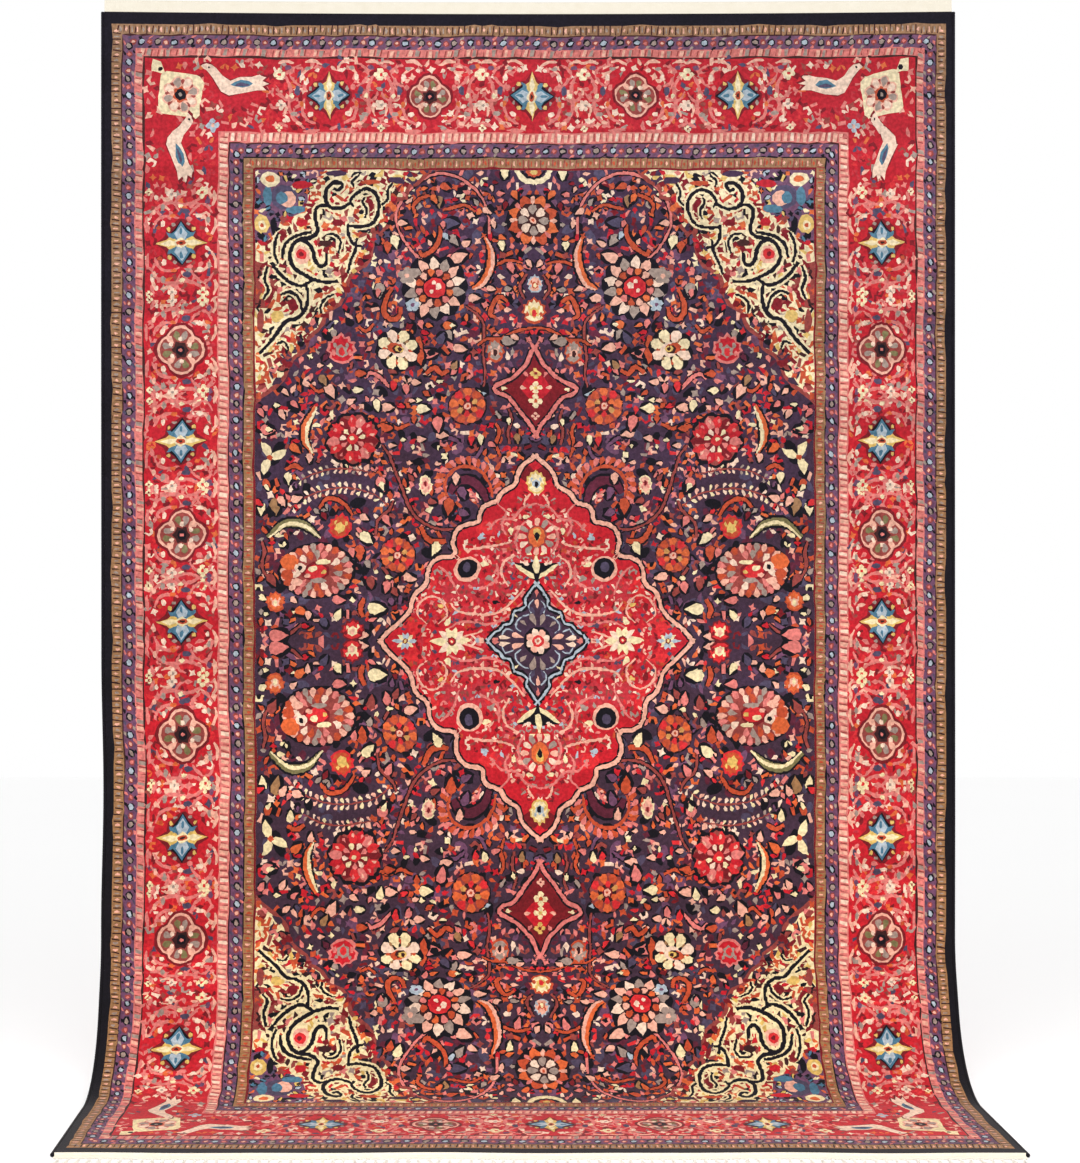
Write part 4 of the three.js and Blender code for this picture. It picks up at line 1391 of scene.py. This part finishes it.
def dyed_wool(name, faded, fresh, knot_pitch, roughness, sheen):
    """Hand-spun wool, dyed in the hank and cut as pile: matt, with a soft bloom where it is seen
    edge-on. Each hank took the dye differently, so the colour comes in faint bands across the rug,
    and single knots are lighter or darker; every knot is also darkened by about a sixth, as painted
    shade between the tufts. The paler form of each dye lies in random patches and, as a painted haze
    of light, towards the top of the rug. Knots are 2.4 mm apart; drawn at knot_pitch to show."""
    material, tree = new_material(name)
    place = add_node(tree, "ShaderNodeUVMap", uv_map="flat")
    along = add_node(tree, "ShaderNodeSeparateXYZ", links={0: place.outputs[0]})
    band_place = add_node(tree, "ShaderNodeVectorMath", {1: (0.8, 17.0, 1.0)}, {0: place.outputs[0]},
                          operation="MULTIPLY")
    bands = add_node(tree, "ShaderNodeTexNoise", {"Scale": 1.0, "Detail": 3.0, "Roughness": 0.6},
                     {"Vector": band_place.outputs[0]}, noise_dimensions="2D")
    knots = add_node(tree, "ShaderNodeTexNoise", {"Scale": 0.5 / knot_pitch, "Detail": 1.0},
                     {"Vector": place.outputs[0]}, noise_dimensions="2D")
    wear = add_node(tree, "ShaderNodeTexNoise", {"Scale": 9.0, "Detail": 3.0},
                    {"Vector": place.outputs[0]}, noise_dimensions="2D")
    # painted light: the upper rug is made paler and hazier, the full dye coming in towards the foot
    down = add_node(tree, "ShaderNodeMapRange", {1: 0.2, 2: 2.9, 3: -0.25, 4: 0.95},
                    {0: along.outputs["Y"]})
    wear_and_painted_haze = add_node(tree, "ShaderNodeMath", {2: -0.25}, {0: wear.outputs[0], 1: down.outputs[0]},
                         operation="ADD", use_clamp=True)
    colour = add_node(tree, "ShaderNodeMix", {6: linear(faded), 7: linear(fresh)}, {0: wear_and_painted_haze.outputs[0]},
                      data_type="RGBA")
    band_shade = add_node(tree, "ShaderNodeMapRange", {1: 0.3, 2: 0.7, 3: 0.86, 4: 1.14},
                          {0: bands.outputs[0]})
    # each knot's own tone, and under it a darkening of about a sixth: painted shade between the tufts
    knot_tone_and_painted_shade = add_node(tree, "ShaderNodeMapRange", {1: 0.3, 2: 0.7, 3: 0.68, 4: 0.98},
                          {0: knots.outputs[0]})
    shade = add_node(tree, "ShaderNodeMath", links={0: band_shade.outputs[0], 1: knot_tone_and_painted_shade.outputs[0]},
                     operation="MULTIPLY")
    shaded = add_node(tree, "ShaderNodeVectorMath", links={0: colour.outputs[2], "Scale": shade.outputs[0]},
                      operation="SCALE")
    tufts = add_node(tree, "ShaderNodeTexVoronoi", {"Scale": 1 / knot_pitch, "Randomness": 0.7},
                     {"Vector": place.outputs[0]}, voronoi_dimensions="2D")
    unevenness = add_node(tree, "ShaderNodeMath", {1: 0.5}, {0: bands.outputs[0], 2: tufts.outputs[0]},
                          operation="MULTIPLY_ADD")
    bump = add_node(tree, "ShaderNodeBump", {"Strength": 0.5, "Distance": 0.0012},
                    {"Height": unevenness.outputs[0]})
    yarn = add_node(tree, "ShaderNodeBsdfPrincipled",
                    {"Roughness": roughness, "IOR": 1.54, "Specular IOR Level": 0.2, "Sheen Weight": sheen,
                     "Sheen Roughness": 0.45},
                    {"Base Color": shaded.outputs[0], "Normal": bump.outputs[0]})
    add_node(tree, "ShaderNodeOutputMaterial", links={0: yarn.outputs[0]})
    return material


# in metres: how coarse the knots and the warps are drawn
KNOT_DRAWN = 0.0042
WEB_WARP_DRAWN = 0.004
FRINGE_WARP_DRAWN = 0.003

pile_wool = {dye: dyed_wool(f"wool_pile_{dye}", *pair, KNOT_DRAWN, 0.94, 0.08) for dye, pair in DYES.items()}


def cotton_web(name, light, dark, pitch):
    """Undyed cotton in a plain weave: pale, matt, with fine ribs where the weft crosses the warps.
    The warps are 2.4 mm apart and are drawn at pitch to show. The colour follows the height of the
    ribs and of random blotches, so it is darker in the furrows between the ribs, as painted shade."""
    material, tree = new_material(name)
    place = add_node(tree, "ShaderNodeUVMap", uv_map="flat")
    ribs = add_node(tree, "ShaderNodeTexWave", {"Scale": 0.5 / pitch, "Distortion": 1.2,
                                                "Detail": 1.0, "Detail Scale": 2.0},
                    {"Vector": place.outputs[0]}, bands_direction="X")
    blotches = add_node(tree, "ShaderNodeTexNoise", {"Scale": 40.0, "Detail": 4.0},
                        {"Vector": place.outputs[0]})
    height = add_node(tree, "ShaderNodeMath", {1: 0.6}, {0: blotches.outputs[0], 2: ribs.outputs[1]},
                      operation="MULTIPLY_ADD")
    # darker where lower: painted shade in the furrows between the ribs, besides the blotches' own tone
    share = add_node(tree, "ShaderNodeMapRange", {1: 0.2, 2: 1.3}, {0: height.outputs[0]})
    colour = add_node(tree, "ShaderNodeMix", {6: linear(dark), 7: linear(light)}, {0: share.outputs[0]},
                      data_type="RGBA")
    bump = add_node(tree, "ShaderNodeBump", {"Strength": 0.6, "Distance": 0.0008},
                    {"Height": height.outputs[0]})
    cotton = add_node(tree, "ShaderNodeBsdfPrincipled",
                      {"Roughness": 0.88, "IOR": 1.5, "Specular IOR Level": 0.25, "Sheen Weight": 0.08},
                      {"Base Color": colour.outputs[2], "Normal": bump.outputs[0]})
    add_node(tree, "ShaderNodeOutputMaterial", links={0: cotton.outputs[0]})
    return material


# the back of the knots: the same wool pressed flat, with less bloom
back_wool = {dye: dyed_wool(f"wool_knot_{dye}", *pair, KNOT_DRAWN, 0.95, 0.04) for dye, pair in DYES.items()}
natural_cotton = cotton_web("cotton_plain_weave", "#f8f2e4", "#e6dcc6", WEB_WARP_DRAWN)
fringe_cotton = cotton_web("cotton_warp_ends", "#fbf8f0", "#efe8da", FRINGE_WARP_DRAWN)


# ---- The knotted rug ----

def drawn_by(draw):
    """Everything that draw() paints, and the same without the small filling."""
    shapes.clear()
    filling.clear()
    draw()
    return list(shapes), [shape for number, shape in enumerate(shapes) if number not in filling]


field_shapes, bold_field_shapes = drawn_by(draw_field)
border_shapes, bold_border_shapes = drawn_by(draw_border)

# half the gap between the field and the border around it
JOIN = 0.15
# the longest stretch of an edge between two of its points: round the rug, and round the field
RIM_STEP = 15
FIELD_STEP = 20
# the woven back reaches up to WEB_TOP, and the pile starts at PILE_ROOT
WEB_TOP = 2.3
PILE_ROOT = 3.3
SIDE = PILE_WIDTH / 2
whole = refined(np.array(((-1, 0), (1, 0), (1, 1), (-1, 1))) * (SIDE, PILE_LENGTH), RIM_STEP)
field_edge = to_flat(refined(rectangle(FIELD_X - JOIN, FIELD_Y - JOIN), FIELD_STEP))
border_hole = to_flat(refined(rectangle(FIELD_X + JOIN, FIELD_Y + JOIN), FIELD_STEP))

# laid out flat, the border is parted along these lines into four side plates and two end plates
LEFT_SEAM, RIGHT_SEAM, MIDDLE_SEAM = -640, 672, PILE_LENGTH / 2
TOP_PLATE, BOTTOM_PLATE = 400, 480
seams = [((LEFT_SEAM, 1), (LEFT_SEAM, PILE_LENGTH - 1)), ((RIGHT_SEAM, 1), (RIGHT_SEAM, PILE_LENGTH - 1)),
         ((1 - SIDE, MIDDLE_SEAM), (SIDE - 1, MIDDLE_SEAM))]
border_plates = [(x0, x1, s0, s1, False) for x0, x1 in ((-SIDE, LEFT_SEAM), (RIGHT_SEAM, SIDE))
                 for s0, s1 in ((0, MIDDLE_SEAM), (MIDDLE_SEAM, PILE_LENGTH))]
border_plates += [(LEFT_SEAM, RIGHT_SEAM, 0, TOP_PLATE, True),
                  (LEFT_SEAM, RIGHT_SEAM, PILE_LENGTH - BOTTOM_PLATE, PILE_LENGTH, True)]
low, high = field_edge.min(axis=0), field_edge.max(axis=0)
field_plates = [(low[0], high[0], low[1], high[1], False)]


def field_slab(name, drawn, pattern_h, plain_h, finishes):
    return slab(name, cut_patches(drawn, field_edge), pattern_h, plain_h, finishes, natural_cotton,
                field_plates)


def border_slab(name, drawn, pattern_h, plain_h, finishes):
    patches = cut_patches(drawn, whole, border_hole, seams)
    return slab(name, patches, pattern_h, plain_h, finishes, natural_cotton, border_plates)


pile_field = field_slab("pile_field", field_shapes, THICKNESS, PILE_ROOT, pile_wool)
pile_border = border_slab("pile_border", border_shapes, THICKNESS, PILE_ROOT, pile_wool)
# on the back only the bolder drawing is followed
field_back = field_slab("woven_back_field", bold_field_shapes, 0, WEB_TOP, back_wool)
border_back = border_slab("woven_back_border", bold_border_shapes, 0, WEB_TOP, back_wool)


# ---- Edges and ends ----

def tube_faces(rings, sides):
    """A closed tube over rings of points numbered ring by ring."""
    faces = []
    for start in range(0, (rings - 1) * sides, sides):
        for j in range(sides):
            following = (j + 1) % sides
            faces.append((start + j, start + following, start + sides + following, start + sides + j))
    faces.append(tuple(range(sides))[::-1])
    faces.append(tuple((rings - 1) * sides + j for j in range(sides)))
    return faces


WRAP_PITCH = 6.0
CORD_SIDES = 10
# how deep the furrow between two turns of the yarn is, as a share of the cord's radius
FURROW = 0.14


def selvedge(side, node):
    """Warps bound into a cord with wool yarn, turn beside turn."""
    radius = SELVEDGE_DIAMETER / 2
    middle = side * (SIDE + GAP + radius)
    count = round(PILE_LENGTH / WRAP_PITCH) * 3
    around = np.arange(CORD_SIDES) * 2 * math.pi / CORD_SIDES
    points, places = [], []
    for i in range(count + 1):
        s = PILE_LENGTH * i / count
        turn_share = (s / WRAP_PITCH + around / (2 * math.pi)) % 1
        yarn = radius * (1 - FURROW + FURROW * np.sin(math.pi * turn_share) ** 0.6)
        points.append(rug_point(middle + side * yarn * np.cos(around), s, radius + yarn * np.sin(around)))
        places.append(np.stack((middle + around * radius, np.full(CORD_SIDES, s)), axis=1))
    faces = tube_faces(count + 1, CORD_SIDES)
    if side > 0:
        faces = [face[::-1] for face in faces]
    made = new_piece(node + "_binding", node, np.concatenate(points), faces, [pile_wool["ink"]])
    set_flat_uv(made.data, places)


selvedge(-1, "selvedge_left")
selvedge(1, "selvedge_right")

WEB_COLUMNS = 340
FOLD_STEPS = 8


def woven_piece(name, node, section):
    """A web woven in one go: its closed section (s, h) is carried across the rug's width."""
    section = np.asarray(section, float)
    points, places = [], []
    for x in np.linspace(-SIDE, SIDE, WEB_COLUMNS):
        points.append(rug_point(x, section[:, 0], section[:, 1]))
        places.append(np.stack((np.full(len(section), x), section[:, 0] + section[:, 1]), axis=1))
    faces = tube_faces(WEB_COLUMNS, len(section))
    made = new_piece(name, node, np.concatenate(points), faces, [natural_cotton], smooth=False)
    set_flat_uv(made.data, places)
    return made


def folded_hem_section():
    """The web runs up, turns over and comes down again behind."""
    middle, inner = THICKNESS / 2, 0.3
    outer = inner + WEB_THICKNESS
    top = -(GAP + HEM_HEIGHT - outer)
    front = [(s, middle + outer) for s in np.linspace(-GAP, top, FOLD_STEPS)]
    fold = [(top - outer * math.sin(t), middle + outer * math.cos(t))
            for t in np.linspace(0.3, math.pi - 0.3, FOLD_STEPS)]
    back = [(s, middle - outer) for s in np.linspace(top, -GAP, FOLD_STEPS)]
    inside = [(-GAP, middle - inner), (top, middle - inner), (top, middle + inner), (-GAP, middle + inner)]
    return front + fold + back + inside


hem = woven_piece("kilim_hem", "kilim_top", folded_hem_section())
bottom_s = [PILE_LENGTH + GAP + share * KILIM_LENGTH for share in np.linspace(0, 1, 6)]
web_section = [(s, WEB_THICKNESS) for s in bottom_s] + [(s, 0) for s in bottom_s[::-1]]
bottom_web = woven_piece("kilim_end", "kilim_bottom", web_section)

FRINGE_START = PILE_LENGTH + GAP + KILIM_LENGTH + GAP
TASSELS = 92
STRANDS = 8
# how a tassel's knot lies: how far past its place, and how high
KNOT_LINE = ((-1, 1.8), (0.4, 1.9), (3, 2.0), (5, 1.9), (6.2, 1.7))


def strand(points, radius, sides=5):
    """A yarn along points of the flat layout (x, s, h)."""
    points = np.asarray(points, float)
    around = np.arange(sides) * 2 * math.pi / sides
    rings = []
    for i, (x, s, h) in enumerate(points):
        thin = radius * (1 if i < len(points) - 1 else 0.5)
        rings.append(rug_point(x + thin * np.cos(around), s, np.maximum(h + thin * np.sin(around), 0)))
    return np.concatenate(rings)


def fringe():
    """The loose warp ends, knotted together into tassels."""
    draw = random.Random(7)
    every, faces = [], []

    def put(points, radius, sides=5):
        first = len(every)
        every.extend(strand(points, radius, sides))
        faces.extend(tuple(first + i for i in face) for face in tube_faces(len(points), sides))

    pitch = PILE_WIDTH / TASSELS
    for number in range(TASSELS):
        middle = -PILE_WIDTH / 2 + pitch * (number + 0.5)
        knot_s = FRINGE_START + draw.uniform(7, 10)
        lean = draw.uniform(-6, 6)
        # warps gather into the knot
        for k in range(5):
            start = middle + (k - 2) * pitch * 0.19
            halfway = ((start + middle) / 2, (FRINGE_START + knot_s) / 2, 1.4)
            put([(start, FRINGE_START, 1.3), halfway, (middle, knot_s, 1.6)], 0.8, 4)
        # the knot itself
        put([(middle, knot_s + s, h) for s, h in KNOT_LINE], 1.9, 7)
        for k in range(STRANDS):
            end = FRINGE_START + FRINGE_LENGTH * draw.uniform(0.72, 0.99)
            spread = (k - (STRANDS - 1) / 2) * draw.uniform(1.0, 1.9)
            bend = draw.uniform(-3, 3)
            line = []
            for share in np.linspace(0, 1, 6):
                x = middle + (lean + spread * 1.2) * share + spread * 0.25 + bend * math.sin(share * math.pi)
                line.append((x, knot_s + 5 + (end - knot_s - 5) * share,
                             0.9 + 0.9 * draw.random() * (1 - share)))
            put(line, 0.75)
    every = np.array(every)
    made = new_piece("fringe_tassels", "fringe_bottom", every, faces, [fringe_cotton])
    set_flat_uv(made.data, [every[:, :2] / MM])
    return made


tassels = fringe()


# ---- Studio ----

FLOOR_REACH = 9.0
# half a millimetre under the rug, so that the two faces don't coincide
FLOOR_HEIGHT = -0.0005


def studio_floor():
    """A matt painted studio floor, so pale that it nearly melts into the surroundings."""
    material, tree = new_material("matt_white_paint")
    place = add_node(tree, "ShaderNodeTexCoord")
    cloud = add_node(tree, "ShaderNodeTexNoise", {"Scale": 0.7, "Detail": 2.0},
                     {"Vector": place.outputs["Object"]})
    colour = add_node(tree, "ShaderNodeMix", {6: linear("#fbfbfb"), 7: linear("#fdfdfd")},
                      {0: cloud.outputs[0]}, data_type="RGBA")
    paint = add_node(tree, "ShaderNodeBsdfPrincipled",
                     {"Roughness": 0.8, "IOR": 1.5, "Specular IOR Level": 0.2},
                     {"Base Color": colour.outputs[2]})
    add_node(tree, "ShaderNodeOutputMaterial", links={0: paint.outputs[0]})
    mesh = bpy.data.meshes.new("floor")
    corners = ((-1, -1), (1, -1), (1, 1), (-1, 1))
    mesh.from_pydata([(x * FLOOR_REACH, y * FLOOR_REACH, FLOOR_HEIGHT) for x, y in corners], [],
                     [(0, 1, 2, 3)])
    mesh.materials.append(material)
    floor = bpy.data.objects.new("floor", mesh)
    bpy.context.scene.collection.objects.link(floor)
    floor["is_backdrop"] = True


studio_floor()

scene = bpy.context.scene
scene.view_settings.view_transform = "Standard"
world = bpy.data.worlds.new("studio")
world.use_nodes = True
surroundings = world.node_tree.nodes["Background"]
surroundings.inputs["Color"].default_value = linear("#ffffff")
surroundings.inputs["Strength"].default_value = 1.0
scene.world = world


def softbox(name, place, aim, size, power, spread=180):
    """A rectangular lamp that the camera doesn't see, turned towards aim."""
    lamp = bpy.data.lights.new(name, "AREA")
    lamp.shape = "RECTANGLE"
    lamp.size, lamp.size_y = size
    lamp.energy = power
    lamp.spread = math.radians(spread)
    made = bpy.data.objects.new(name, lamp)
    made.location = place
    made.rotation_euler = (Vector(aim) - Vector(place)).to_track_quat("-Z", "Y").to_euler()
    made.visible_camera = False
    scene.collection.objects.link(made)


softbox("softbox_left", (-3.4, -6.2, 2.0), (0, 0.3, 1.2), (2.4, 2.4), 45)
softbox("softbox_right", (3.4, -6.2, 2.0), (0, 0.3, 1.2), (2.4, 2.4), 45)
softbox("softbox_over_foot", (0, -2.4, 2.7), (0, -0.75, 0), (3.2, 0.6), 15, 70)

# a level camera, a little to the right of the rug's middle
CAMERA_ASIDE, CAMERA_AWAY, CAMERA_HEIGHT = 0.0286, 5.513, 1.204
CAMERA_LENS, CAMERA_SENSOR = 71.2, 36
camera = bpy.data.cameras.new("camera")
camera.lens = CAMERA_LENS
camera.sensor_width = CAMERA_SENSOR
camera.clip_end = 60
viewpoint = bpy.data.objects.new("camera", camera)
viewpoint.location = (WALL_X * MM + CAMERA_ASIDE, WALL_Y * MM - CAMERA_AWAY, CAMERA_HEIGHT)
viewpoint.rotation_euler = (math.pi / 2, 0, 0)
scene.collection.objects.link(viewpoint)
scene.camera = viewpoint

visual_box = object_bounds()
boxes = {"cad": cad_box, "visual": visual_box}
{name: [list(corner) for corner in box] for name, box in boxes.items()}
